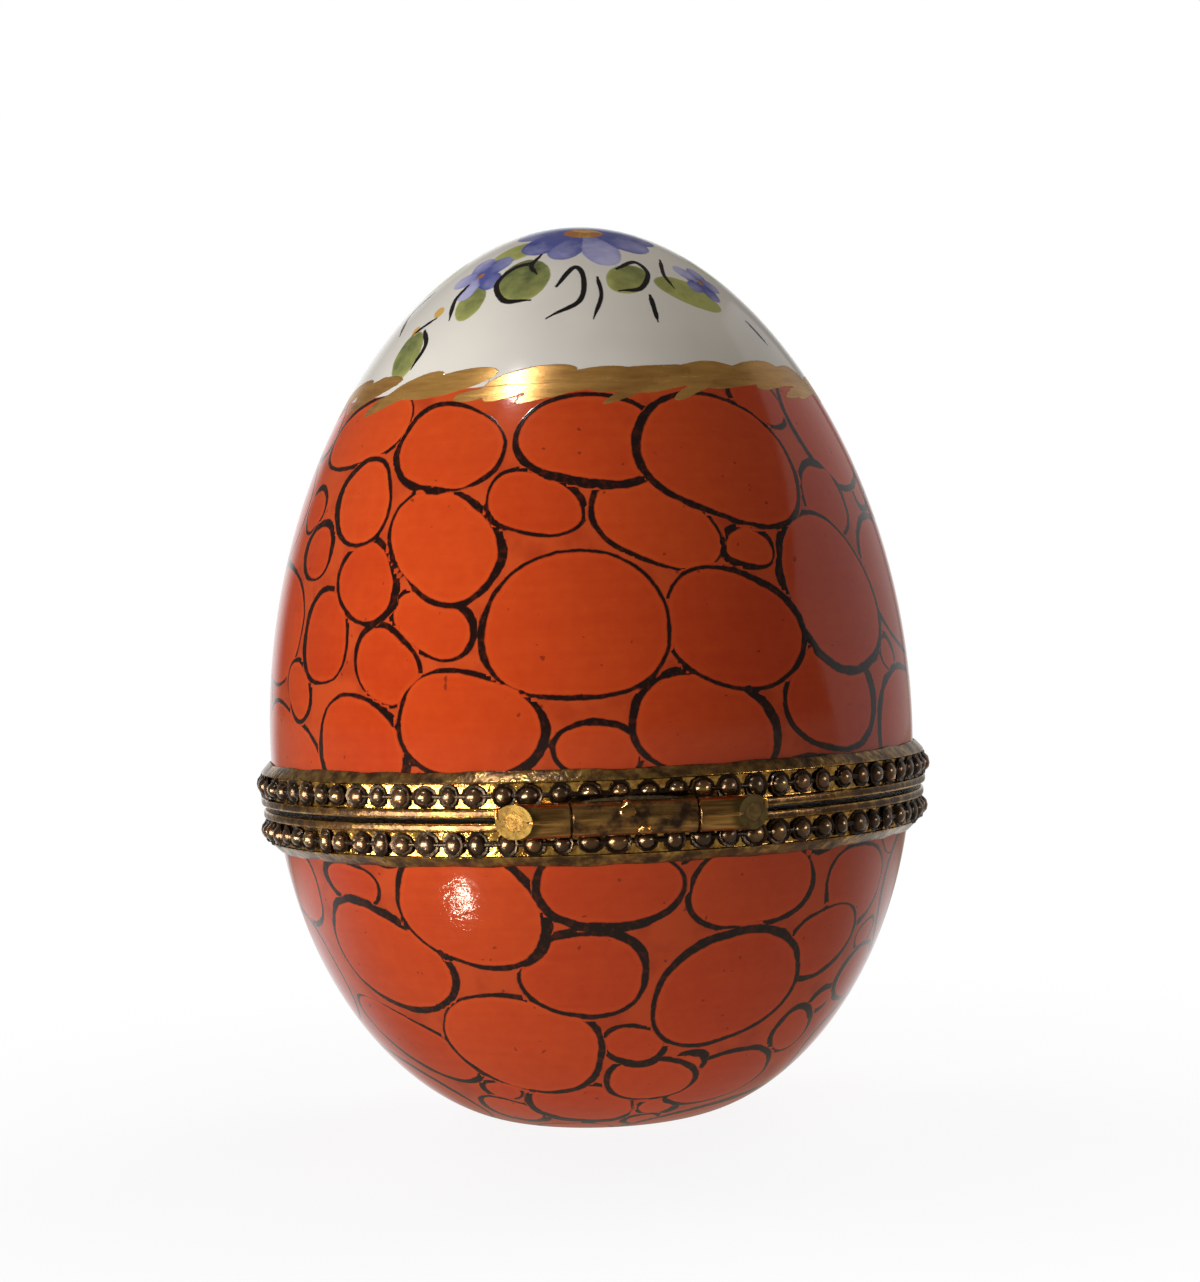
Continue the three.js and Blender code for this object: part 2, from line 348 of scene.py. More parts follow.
pebbles = {
    "seed": 11,
    "roundness": 2.25,
    "gap": 0.05,  # bare ground left round a new cell, mm
    "overlap": 0.12,  # how far two cells may grow into each other
    "swell": (0.035, 0.03),  # how far an outline strays from a true oval
    "lineHalf": (0.14, 0.24),
    "apart": 1.0,  # outlines closer than this are painted in different layers
    "shrink": 0.965,  # of the placed cells
    "top": 45.2,  # the gold band covers the last cells
    "fill": (4.4, 3.7, 3.1, 2.6, 2.1, 1.7, 1.3, 1.0),  # half sizes tried in turn on the bare ground
    "tries": 1500,
    "apartShare": 0.7,  # of its half size that a new cell's centre keeps from the others
    "low": 0.5,  # distance from the foot's edge at which they start
    "long": (1.0, 1.3), "short": (0.8, 1.0), "lean": (-50, 30),  # their proportions
    "rim": 20,  # points looked at on an outline
    "rounds": 14,
    "steps": (0.97, 1.03),  # a crowded cell's shrinking and a free one's growing in a round
    "sizes": (0.85, 1.7),  # limits of that
    "crowded": 2.5,  # overlaps that make a cell shrink
    "open": (0.3, 0.95),  # share of the outlines that aren't closed, and how far they thin out
    "opening": 0.16,  # length of that
    "pen": (0.4, 0.2),  # how a line swells and thins round its cell
    "felt": (2.2, 2.0),  # a cell is felt within this many half sizes and millimetres
    "behind": -7,  # a spot this far under a cell's plane is on the egg's other side
    "none": -99.0,  # distance where there is no cell
    "lap": 0.05,  # depth under another cell at which a line ends
    "fade": (0.15, 0.12),  # a line under another cell fades out from here, within this
    "faded": 20,  # distance that hides it
    # turn from the hinge, height, width, height of the cell, lean
    "placed": [
        (-8, 31.6, 10.9, 9.1, -4), (19.5, 31.1, 9.7, 6.9, -24), (23, 41.2, 11.0, 8.4, -20),
        (-4, 42.5, 9.2, 5.9, -8), (-34, 42.4, 7.6, 5.8, -18), (7, 37.4, 8.6, 4.9, -26),
        (-15, 38.8, 6.1, 4.0, -14), (-32, 36.6, 8.2, 6.5, -42), (-26.5, 26.0, 9.4, 6.5, -14),
        (13, 25.5, 9.8, 6.0, -14), (-5, 24.4, 5.2, 3.4, -4), (-48, 24.8, 7.8, 6.0, -10),
        (43, 33, 10.6, 8.4, -60), (-53, 39.4, 5.6, 5.2, -70), (-48, 34.6, 5.8, 4.6, -50),
        (-58, 31.4, 5.0, 5.8, 0), (-42, 29.6, 5.4, 4.4, -40), (-33, 32, 6.0, 3.8, -24),
        (-60, 43.8, 8.6, 5.0, 10), (-65, 36.6, 3.8, 3.6, 0), (24, 35.8, 3.6, 2.6, -12),
        (39, 26.8, 8.2, 6.6, -20), (47, 38.6, 4.6, 5.2, 0), (-66, 28.2, 4.0, 3.2, -60),
        (-4, 16.4, 8.8, 5.0, -6), (-29, 15.4, 10.2, 7.4, -20), (-50, 12.0, 10.4, 6.6, -26),
        (-9, 11.2, 7.8, 5.8, -6), (20, 9.7, 9.7, 8.1, 14), (-24, 6.6, 10.4, 7.8, -18), (22, 16, 8.6, 5.6, 0),
        (41, 12, 6.6, 4.6, 20), (1, 6.6, 3.9, 3.2, -20), (6, 4.1, 5.8, 4.2, -6), (15, 5.1, 2.1, 1.9, 0),
        (-54, 16.6, 5.4, 2.6, -10), (-54, 6.4, 9.6, 4.8, -30), (-13, 2.4, 6.8, 5.0, -8),
        (48, 15.2, 6.8, 5.4, 0), (27, 3.6, 7.6, 5.2, 8),
    ],
}


def layCells(rows, rng):  # one array for each property of the cells
    frames = [onGlaze(turn, height) for turn, height, *_ in rows]
    centre, across, up, out = (np.array([f[i] for f in frames]) for i in range(4))
    wide, tall, lean = (np.array([row[i] for row in rows], float) for i in (2, 3, 4))
    cosine, sine = np.cos(np.radians(lean))[:, None], np.sin(np.radians(lean))[:, None]
    return {
        "centre": centre,
        "along": across * cosine + up * sine,
        "athwart": up * cosine - across * sine,
        "out": out,
        "wide": wide / 2,
        "tall": tall / 2,
        "phase": rng.uniform(0, fullTurn, (len(rows), 5)),
        "tone": rng.uniform(0, 1, len(rows)),
        "line": rng.uniform(*pebbles["lineHalf"], len(rows)),
        "open": np.where(rng.uniform(0, 1, len(rows)) < pebbles["open"][0], pebbles["open"][1], 0.0),
    }


def depthIn(u, v, wide, tall, power, middle, stray=1.0):  # distance inside a rounded oval's outline
    share = ((np.abs(u) / wide) ** power + (np.abs(v) / tall) ** power) ** (1 / power)
    return np.where(share > 1e-3, np.hypot(u, v) * (stray / np.maximum(share, 1e-3) - 1), middle)


# distance inside each cell's outline, and the angle round it
def cellEdges(cells, spots, swell=pebbles["swell"], power=pebbles["roundness"]):
    away = spots[None] - cells["centre"][:, None]
    u, v, w = (np.einsum("npk,nk->np", away, cells[axis]) for axis in ("along", "athwart", "out"))
    wide, tall = cells["wide"][:, None], cells["tall"][:, None]
    angle = np.arctan2(v / tall, u / wide)
    phase = cells["phase"][:, :, None]
    stray = 1 + swell[0] * np.sin(2 * angle + phase[:, 0]) + swell[1] * np.sin(3 * angle + phase[:, 1])
    edge = depthIn(u, v, wide, tall, power, np.minimum(wide, tall), stray)
    return np.where(w < pebbles["behind"], pebbles["none"], edge), angle


def rimSpots(cells, index):  # points on one cell's outline
    angle = np.linspace(0, fullTurn, pebbles["rim"], endpoint=False)
    power = 2 / pebbles["roundness"]
    u, v = (np.sign(way) * np.abs(way) ** power for way in (np.cos(angle), np.sin(angle)))
    u, v = u * cells["wide"][index], v * cells["tall"][index]
    flat = cells["centre"][index] + u[:, None] * cells["along"][index] + v[:, None] * cells["athwart"][index]
    height = np.clip(flat[:, 2], 0.05, egg["height"] - 0.05)  # drop the points onto the glaze
    bearing = np.arctan2(flat[:, 0], -flat[:, 1])
    radius = radiusAt(height)
    return np.column_stack([radius * np.sin(bearing), -radius * np.cos(bearing), height])


def joinCells(first, second):
    return {key: np.concatenate([first[key], second[key]]) for key in first}


def clearance(cells, index):  # how deep the neighbours reach into one cell's outline
    others = np.arange(len(cells["wide"])) != index
    around = {key: value[others] for key, value in cells.items()}
    return cellEdges(around, rimSpots(cells, index))[0].max()


def sortCells(cells):  # neighbours get different layers, so each layer's outlines are one smooth distance
    count = len(cells["wide"])
    spots = np.concatenate([rimSpots(cells, index) for index in range(count)])
    edge, _ = cellEdges(cells, spots)
    near = edge.reshape(count, count, pebbles["rim"]).max(axis=2) > -pebbles["apart"]
    near |= near.T
    layer = np.full(count, -1)
    for index in range(count):
        taken = set(layer[near[index]])
        layer[index] = next(number for number in range(count) if number not in taken)
    return layer


def layPebbles():
    rng = np.random.default_rng(pebbles["seed"])
    placed = []
    for turn, height, *size, lean in pebbles["placed"]:
        placed.append((turn, height, *(length * pebbles["shrink"] for length in size), lean))
    cells = layCells(placed, rng)
    runs = (pebbles["low"], runAt(pebbles["top"]))
    for half in pebbles["fill"]:
        for _ in range(pebbles["tries"]):
            height = np.interp(rng.uniform(*runs), outlineRun, outline[:, 1])
            turn, luck = rng.uniform(-180, 180), rng.uniform()
            long, short, lean = (rng.uniform(*pebbles[name]) for name in ("long", "short", "lean"))
            if luck > radiusAt(height) / egg["bellyRadius"]:  # even cover, though rows near the foot are short
                continue
            centre = onGlaze(turn, height)[0]
            if cellEdges(cells, centre[None])[0].max() > -half * pebbles["apartShare"]:
                continue
            trial = layCells([(turn, height, 2 * half * long, 2 * half * short, lean)], rng)
            if cellEdges(cells, rimSpots(trial, 0))[0].max() < -pebbles["gap"]:
                cells = joinCells(cells, trial)
    # every cell that wasn't listed swells until it meets its neighbours
    start = {key: cells[key].copy() for key in ("wide", "tall")}
    less, more = pebbles["steps"]
    least, most = pebbles["sizes"]
    for _ in range(pebbles["rounds"]):
        for index in range(len(placed), len(cells["wide"])):
            for key, first in start.items():
                before = cells[key][index]
                deep = clearance(cells, index)
                if deep > pebbles["crowded"] * pebbles["overlap"]:
                    cells[key][index] = max(before * less, first[index] * least)
                elif deep < pebbles["overlap"] and before < first[index] * most:
                    cells[key][index] = before * more
    cells["layer"] = sortCells(cells)
    print("pebbles laid:", len(cells["wide"]), "in layers:", cells["layer"].max() + 1)
    return cells


def paintPebbles(piece, cells, spots):
    count, layers = len(spots), cells["layer"].max() + 1
    edge, tone, line = np.full(count, pebbles["none"]), np.zeros(count), np.full(count, 0.2)
    cover = np.full(count, pebbles["none"])  # how deep a spot lies under the cells laid before
    near = np.full(count, farOff)  # distance to the nearest line
    bare, side = (np.full((layers, count), -farOff) for _ in range(2))
    for index in range(len(cells["wide"])):
        one = {key: value[index] for key, value in cells.items()}
        felt = pebbles["felt"][0] * max(one["wide"], one["tall"]) + pebbles["felt"][1]
        rows = np.flatnonzero(np.linalg.norm(spots - one["centre"], axis=1) < felt)
        if not len(rows):
            continue
        alone = {key: value[index:index + 1] for key, value in cells.items()}
        inside, angle = (values[0] for values in cellEdges(alone, spots[rows]))
        phase, pen = one["phase"], pebbles["pen"]
        width = one["line"] * (1 + pen[0] * np.sin(angle + phase[2]) + pen[1] * np.sin(2 * angle + phase[3]))
        width *= 1 - one["open"] * np.exp(-((np.cos((angle - phase[4]) / 2) / pebbles["opening"]) ** 2))
        shown = np.minimum(inside, -cover[rows])  # the first ones keep their whole outline
        wins = shown > edge[rows]
        won = rows[wins]
        edge[won], tone[won] = shown[wins], one["tone"]
        closer = (np.abs(inside) < near[rows]) & (cover[rows] < pebbles["lap"])
        drawn = rows[closer]
        near[drawn], line[drawn] = np.abs(inside[closer]), width[closer]
        layer = one["layer"]
        best = inside > bare[layer, rows]
        bare[layer, rows[best]] = inside[best]
        # no line shows through a cell laid before
        start, within = pebbles["fade"]
        hidden = pebbles["faded"] * np.sign(inside) * np.clip((cover[rows] + start) / within, 0, 1)
        side[layer, rows[best]] = (inside + hidden)[best]
        cover[rows] = np.maximum(cover[rows], inside)
    paintOn(piece, "pebbleEdge", np.maximum(edge, -farOff))
    paintOn(piece, "pebbleTone", tone)
    paintOn(piece, "lineHalf", line)
    for layer in range(layers):
        paintOn(piece, f"lineSide{layer}", side[layer])


# Gold band under the white cap: slanting dabs of a flat brush

gold = {
    "seed": 5, "height": 46.15, "lean": 12, "swell": (0.1, 0.1), "roundness": 2.2, "reach": 3,
    # how far each stroke strays in turn, height and lean, and its length and width
    "dabs": 25, "dabTurn": (-0.25, 0.25), "dabRise": (-0.3, 0.3), "dabLean": (-7, 8),
    "long": 6.8, "dabLong": (0.85, 1.15), "wide": 1.5, "dabWide": (0.75, 1.15),
    # short licks along the lower and the upper edge
    "licks": 23, "lickTurn": (-0.4, 0.4), "lickEdge": [-0.72, 0.5], "lickRise": (-0.12, 0.12),
    "lickLong": (2.6, 4.6), "lickWide": (0.55, 0.9), "lickLean": (-10, 14),
}


def paintGold(piece, spots):
    rng = np.random.default_rng(gold["seed"])

    def stray(name):
        return rng.uniform(*gold[name])

    rows = []
    for index in range(gold["dabs"]):
        turn = -180 + (index + stray("dabTurn")) * 360 / gold["dabs"]
        height = gold["height"] + stray("dabRise")
        size = gold["long"] * stray("dabLong"), gold["wide"] * stray("dabWide")
        rows.append((turn, height, *size, gold["lean"] + stray("dabLean")))
    for index in range(gold["licks"]):
        turn = -180 + (index + stray("lickTurn")) * 360 / gold["licks"]
        height = gold["height"] + rng.choice(gold["lickEdge"]) + stray("lickRise")
        rows.append((turn, height, stray("lickLong"), stray("lickWide"), gold["lean"] + stray("lickLean")))
    cells = layCells(rows, rng)
    edge, tone = np.full(len(spots), -farOff), np.zeros(len(spots))
    band = np.flatnonzero(np.abs(spots[:, 2] - gold["height"]) < gold["reach"])
    every, _ = cellEdges(cells, spots[band], gold["swell"], gold["roundness"])
    best = every.argmax(axis=0)
    edge[band] = np.maximum(every[best, np.arange(len(band))], -farOff)
    tone[band] = cells["tone"][best]
    paintOn(piece, "goldEdge", edge)
    paintOn(piece, "goldTone", tone)


# Flower sprig on the crown, laid out flat: distance from the crown and turn from the hinge

sprig = {
    "seed": 8,
    "lowest": 44,  # height above which it is painted
    "root": 0.6,  # share of the eye that the petals leave free
    "petalTurn": (-7, 7), "petalLong": (0.88, 1.12), "petalWide": (0.85, 1.1), "petalTone": (-0.72, 0.56),
    "petalRound": 2.3, "leafRound": 1.9, "eyeOval": 0.85, "budOval": 0.8,
    "taper": (0.6, 0.35, 4),  # a stroke's share of its width at the start and the end, and its gain from there
    # turn, distance, petals, reach, width, eye, first petal, paleness
    "flowers": [
        (2, 4.6, 9, 4.7, 2.8, 1.25, 16, 0), (-46, 10.0, 5, 2.3, 1.6, 0.3, 20, 0.4),
        (45, 11.2, 5, 1.9, 1.4, 0.3, 50, 0.4), (168, 9.0, 7, 3.6, 2.4, 0.9, 0, 0.05),
        (-112, 10.5, 5, 2.4, 1.8, 0.5, 30, 0.2), (104, 12.6, 5, 2.2, 1.7, 0.45, 10, 0.2),
        (-158, 14.6, 5, 1.9, 1.5, 0.4, 0, 0.3),
    ],
    # turn, distance, length, width, way it points (0 is straight down the egg), paleness
    "leaves": [
        (-25, 10.8, 4.4, 3.7, 12, 0.2), (13, 11.1, 3.6, 2.7, -55, 0.5), (-42, 12.7, 3.2, 2.3, 8, 0.4),
        (-57, 16.6, 4.0, 2.9, 22, 0.3), (34, 12.4, 5.2, 2.6, 62, 0.9), (-37, 7.4, 3.6, 2.4, -48, 0.8),
        (66, 9.6, 4.0, 2.4, 20, 0.5), (86, 13.8, 4.2, 2.2, -15, 0.3), (122, 11.2, 4.2, 3.0, 15, 0.3),
        (144, 13.0, 3.6, 2.4, -20, 0.6), (-172, 12.6, 3.6, 2.6, 35, 0.45), (-136, 12.0, 4.2, 2.8, -10, 0.3),
        (-92, 13.4, 4.4, 2.4, 16, 0.4), (-78, 9.4, 3.6, 2.4, -28, 0.75), (-120, 16.0, 3.6, 2.0, 12, 0.5),
    ],
    "buds": [(-54, 13.2, 0.55), (-60, 14.6, 0.45), (-100, 16.2, 0.7), (128, 15.6, 0.75), (-146, 9.6, 0.6)],
    # half width, then places that the brush passes
    "strokes": [
        (0.14, (-12, 11.6), (-6, 9.8), (-3, 11.0), (-5, 13.2), (-14, 14.5)),
        (0.11, (2, 11.1), (2, 12.8), (-1, 14.6)), (0.14, (18, 12.9), (17, 14.9)),
        (0.15, (53, 14.8), (55, 16.4)), (0.15, (-24, 9.0), (-32, 9.6), (-35, 11.2), (-29, 12.8), (-21, 12.9)),
        (0.13, (11, 10.0), (20, 9.3), (22, 10.6), (16, 12.1), (9, 12.3)),
        (0.11, (34, 9.0), (29, 10.6), (29, 11.8)), (0.12, (-22, 8.2), (-24, 9.4), (-21, 10.2)),
        (0.14, (-49, 11.0), (-50, 12.2), (-47, 13.9)), (0.15, (-55, 14.8), (-51, 16.0), (-52, 17.6)),
        (0.12, (-54, 13.8), (-60, 14.8)), (0.15, (72, 11.4), (78, 12.6), (86, 15.2)),
        (0.16, (118, 9.4), (114, 11.0), (119, 13.0)), (0.14, (132, 13.8), (136, 15.6), (130, 17.0)),
        (0.15, (150, 11.4), (150, 13.2), (146, 15.0)), (0.16, (178, 13.6), (-176, 15.2), (-170, 15.8)),
        (0.15, (-130, 10.2), (-127, 12.0), (-132, 14.0)), (0.13, (-144, 13.2), (-140, 15.4)),
        (0.15, (-88, 11.6), (-86, 13.6), (-92, 15.6)), (0.14, (-72, 11.0), (-76, 12.8), (-70, 14.6)),
        (0.13, (-112, 14.4), (-118, 17.2)), (0.13, (96, 15.6), (100, 17.4)),
    ],
}


def flatPlace(turn, distance):
    return distance * np.array([math.sin(math.radians(turn)), math.cos(math.radians(turn))])


def ovalEdge(flat, centre, way, long, wide, power=2.0):  # signed distance inside, and place from root to tip
    u, v = (flat - centre) @ way, (flat - centre) @ np.array([way[1], -way[0]])
    return depthIn(u, v, long, wide, power, wide), u / long


def brushLine(places):  # smooth line through the places, as flat points
    points = np.array([flatPlace(*place) for place in places])
    ends = np.vstack([2 * points[0] - points[1], points, 2 * points[-1] - points[-2]])
    line = []
    for a, b, c, d in zip(ends, ends[1:], ends[2:], ends[3:]):
        for t in np.linspace(0, 1, 9)[:-1]:
            straight = 2 * b + (c - a) * t
            line.append(0.5 * (straight + (2 * a - 5 * b + 4 * c - d) * t**2 + (3 * b - a - 3 * c + d) * t**3))
    return np.array(line + [points[-1]])


def paintSprig(piece, spots):
    rng = np.random.default_rng(sprig["seed"])
    cap = np.flatnonzero(spots[:, 2] > sprig["lowest"])
    bearing = np.arctan2(spots[cap, 0], -spots[cap, 1])
    flat = fromCrown(spots[cap, 2])[:, None] * np.column_stack([np.sin(bearing), np.cos(bearing)])
    layers = {name: np.full(len(spots), -farOff) for name in ("petalEdge", "leafEdge", "eyeEdge", "budEdge")}
    layers.update({name: np.zeros(len(spots)) for name in ("petalTone", "leafTone", "inkSide", "inkHalf")})
    layers["inkNear"] = np.full(len(spots), farOff)

    def lay(edgeName, edge, toneName=None, tone=None):
        better = edge > layers[edgeName][cap]
        layers[edgeName][cap[better]] = edge[better]
        if toneName:
            layers[toneName][cap[better]] = tone[better]

    def stray(name):
        return rng.uniform(*sprig[name])

    for turn, distance, count, reach, width, eye, first, pale in sprig["flowers"]:
        centre, root = flatPlace(turn, distance), eye * sprig["root"]
        for index in range(count):
            angle = math.radians(first + index * 360 / count + stray("petalTurn"))
            way = np.array([math.sin(angle), math.cos(angle)])
            long = (reach - root) / 2 * stray("petalLong")
            wide = width / 2 * stray("petalWide")
            edge, place = ovalEdge(flat, centre + way * (root + long), way, long, wide, sprig["petalRound"])
            tone = 0.45 + pale + 0.42 * place + stray("petalTone") - 0.3 * np.exp(-edge / 0.25)
            lay("petalEdge", edge, "petalTone", tone)
        lay("eyeEdge", ovalEdge(flat, centre, np.array([1.0, 0.0]), eye, eye * sprig["eyeOval"])[0])
    for turn, distance, long, wide, pointing, pale in sprig["leaves"]:
        angle = math.radians(turn + pointing)
        way = np.array([math.sin(angle), math.cos(angle)])
        edge, place = ovalEdge(flat, flatPlace(turn, distance), way, long / 2, wide / 2, sprig["leafRound"])
        lay("leafEdge", edge, "leafTone", pale + 0.3 * place + 0.35 * np.exp(-edge / 0.3))
    for turn, distance, size in sprig["buds"]:
        centre = flatPlace(turn, distance)
        lay("budEdge", ovalEdge(flat, centre, np.array([0.0, 1.0]), size, size * sprig["budOval"])[0])
    start, end, gain = sprig["taper"]
    for half, *places in sprig["strokes"]:
        line = brushLine(places)
        way = np.gradient(line, axis=0)
        way /= np.linalg.norm(way, axis=1)[:, None]
        gap = np.linalg.norm(flat[:, None] - line[None], axis=2)
        nearest = gap.argmin(axis=1)
        share = nearest / (len(line) - 1)
        offset = flat - line[nearest]
        side = offset[:, 0] * way[nearest, 1] - offset[:, 1] * way[nearest, 0]
        width = half * np.minimum(1, np.minimum(start + gain * share, end + gain * (1 - share)))
        near = gap.min(axis=1)
        better = near < layers["inkNear"][cap]
        for name, values in (("inkNear", near), ("inkSide", side), ("inkHalf", width)):
            layers[name][cap[better]] = values[better]
    for name, values in layers.items():
        paintOn(piece, name, values)


# Glazes

glaze = {
    "pebbleDeep": tint(177, 53, 14),
    "pebbleBright": tint(204, 77, 26),
    "ground": tint(188, 70, 27),
    "groundDeep": tint(170, 57, 20),
    "ink": tint(27, 9, 6),
    "stroke": tint(22, 17, 18),
    "white": tint(222, 217, 207),
    "whiteShade": tint(214, 209, 201),
    "petalDeep": tint(56, 66, 146),
    "petalPale": tint(176, 174, 214),
    "leafDeep": tint(72, 84, 28),
    "leafPale": tint(164, 166, 86),
    "eye": tint(168, 104, 40),
    "bud": tint(204, 164, 86),
    "goldDeep": tint(160, 108, 54),
    "goldBright": tint(226, 174, 94),
    "groundTop": 45.95,
    "scuff": (-10.4, -16.5, 15.3),  # where the base has been rubbed
}


def paintedPorcelain(name, capped, layers):
    paint = newFinish(name)
    noise, step, blend, read = paint.noise, paint.step, paint.blend, paint.read
    wobble = (noise(0.75) - 0.5) * 0.18
    ragged = (noise(3.2, 3) - 0.5) * 0.07
    streak = noise((0.12, 0.12, 2.4), 3, 0.6)  # faint level brush marks
    patch, mottle = noise(0.16), noise(1.2, 4, 0.65)
    edge = read("pebbleEdge") + wobble + ragged
    half = read("lineHalf") * (0.55 + 0.9 * noise(0.9))
    gap = abs(read("lineSide0") + wobble + ragged)
    for layer in range(1, layers):
        gap = gap.least(abs(read(f"lineSide{layer}") + wobble + ragged))
    line = 1 - step(gap - half, -0.05, 0.05)
    inside = step(edge, -0.04, 0.04)
    rim = step(edge - half, 0.02, 0.1) - step(edge - half, 0.12, 0.4)
    cellTone = read("pebbleTone") * 0.4 + streak * 0.4 + patch * 0.5 + mottle * 0.6 - 0.54 + rim * 0.2
    ground = blend(glaze["ground"], glaze["groundDeep"], step(noise(0.5, 3), 0.42, 0.7))
    colour = blend(ground, blend(glaze["pebbleDeep"], glaze["pebbleBright"], cellTone), inside)
    specks = step(noise(1.9, 1), 0.745, 0.78)  # a few, from the kiln
    colour = blend(colour, glaze["ink"], 0.5 * specks)
    ink = line * (0.93 + 0.07 * step(noise(2.6, 3), 0.35, 0.5))
    rough = 0.085 + 0.05 * streak
    relief = inside * 0.07 + patch * 0.3 + 0.1 * noise(1.3) + 0.09 * noise(3.4)
    metal = 0.0
    if capped:
        wash = noise(1.1, 3)
        red = 1 - step(paint.height() + wobble, glaze["groundTop"] - 0.05, glaze["groundTop"] + 0.05)
        leaf = step(read("leafEdge") + wobble + ragged, -0.06, 0.06)
        leafColour = blend(glaze["leafDeep"], glaze["leafPale"], read("leafTone") + 1.3 * (wash - 0.5))
        petal = step(read("petalEdge") + wobble * 0.7 + ragged, -0.08, 0.08)
        petalColour = blend(glaze["petalDeep"], glaze["petalPale"], read("petalTone") + 0.8 * (wash - 0.5))
        bud, eye = (step(read(word) + wobble, -0.06, 0.06) for word in ("budEdge", "eyeEdge"))
        eyeColour = blend(glaze["eye"], glaze["bud"], step(wash, 0.45, 0.62))
        side = abs(read("inkSide") + ragged * 0.6) - read("inkHalf") * (1.15 + 0.5 * noise(1.6))
        stroke = (1 - step(side, -0.04, 0.04)) * (1 - step(read("inkNear"), 0.2, 0.32))
        cap = blend(glaze["white"], glaze["whiteShade"], step(noise(0.12), 0.4, 0.65))
        # painted over each other in this order
        for over, share in (
            (leafColour, leaf * 0.95), (petalColour, petal * 0.94), (glaze["bud"], bud), (eyeColour, eye),
            (glaze["stroke"], stroke),
        ):
            cap = blend(cap, over, share)
        colour = blend(cap, colour, red)
        ink = ink * red
        relief = relief * red + 0.06 * leaf + 0.06 * petal
    else:
        spot = {0: paint.place(), 1: glaze["scuff"]}
        away = paint.node("ShaderNodeVectorMath", {"operation": "DISTANCE"}, spot, output=1)
        relief = relief + (1 - step(away, 0.6, 3.2)) * 1.5 * noise((2.0, 2.0, 2.8), 3, 0.6)
    colour = blend(colour, glaze["ink"], ink)
    relief = relief + 0.14 * ink
    if capped:
        metal = step(read("goldEdge") + wobble + ragged, -0.05, 0.05)
        brushed = noise((0.35, 0.35, 3.0), 4, 0.65)
        goldTone = 0.35 * read("goldTone") + 1.3 * brushed - 0.3
        colour = blend(colour, blend(glaze["goldDeep"], glaze["goldBright"], goldTone), metal)
        rough = rough + metal * (0.06 + 0.16 * brushed)
        relief = relief + metal * (0.6 + 0.5 * brushed)
    inputs = {"Base Color": colour, "Roughness": rough, "Metallic": 0.6 * metal, "IOR": 1.5}
    return paint.surface({**inputs, "Normal": paint.bump(relief, 0.03)})


def plainPorcelain(name):  # the bare white glaze inside and under the foot
    paint = newFinish(name)
    speck = paint.step(paint.noise(1.7, 1), 0.74, 0.78)
    milk = paint.blend(tint(231, 231, 226), tint(214, 219, 222), paint.step(paint.noise(0.1), 0.35, 0.7))
    colour = paint.blend(milk, tint(150, 134, 112), speck * 0.35)
    rough = 0.1 + 0.06 * paint.noise(0.5)
    waves = paint.bump(paint.noise(0.35), 0.05)
    return paint.surface({"Base Color": colour, "Roughness": rough, "Normal": waves})


shell = {"steps": 440, "lidRows": 176, "baseRows": 84, "innerRows": 24, "rim": 0.82, "skin": 0.3, "sharp": 40}


def paintShell(piece, cells):  # the pebbles, and the painted glaze on the faces outside
    spots = spotsOf(piece)
    paintPebbles(piece, cells, spots)
    off = np.abs(np.hypot(spots[:, 0], spots[:, 1]) - radiusAt(spots[:, 2]))
    onFace = (off < shell["skin"]) | (spots[:, 2] > egg["height"] - egg["wall"] + shell["skin"])
    corners = np.empty(len(piece.data.loops), int)
    piece.data.loops.foreach_get("vertex_index", corners)
    starts = np.empty(len(piece.data.polygons), int)
    piece.data.polygons.foreach_get("loop_start", starts)
    painted = np.logical_and.reduceat(onFace[corners], starts)
    piece.data.polygons.foreach_set("material_index", np.where(painted, 0, 1).astype(np.int32))
    return spots


def buildPorcelain(cells):
    inner = plainPorcelain("plainPorcelain")
    layers = int(cells["layer"].max()) + 1
    rim = parting + shell["rim"]
    outside = stretchOf(rim, egg["height"], shell["lidRows"])
    inside = stretchOf(rim, egg["height"], shell["innerRows"], egg["wall"])[::-1]
    outside[-1, 0] = inside[0, 0] = 0
    inside[-1, 1] = rim
    bm = lathe(np.vstack([outside, inside, outside[:1]]), shell["steps"], False)
    finishes = [paintedPorcelain("paintedLid", True, layers), inner]
    lid = finishPiece(bm, "lidPorcelain", "lid", ["lid_shell"], finishes, shell["sharp"])
    rim = parting - shell["rim"]
    outside = stretchOf(0, rim, shell["baseRows"])
    inside = stretchOf(0, rim, shell["innerRows"], egg["wall"])[::-1]
    inside[0, 1] = rim
    bm = lathe(np.vstack([[(0, 0)], outside, inside, [(0, egg["wall"])]]), shell["steps"], False)
    finishes = [paintedPorcelain("paintedBase", False, layers), inner]
    base = finishPiece(bm, "basePorcelain", "base", ["base_shell"], finishes, shell["sharp"])
    spots = paintShell(lid, cells)
    paintGold(lid, spots)
    paintSprig(lid, spots)
    paintShell(base, cells)
    print("porcelain painted")


buildPorcelain(layPebbles())
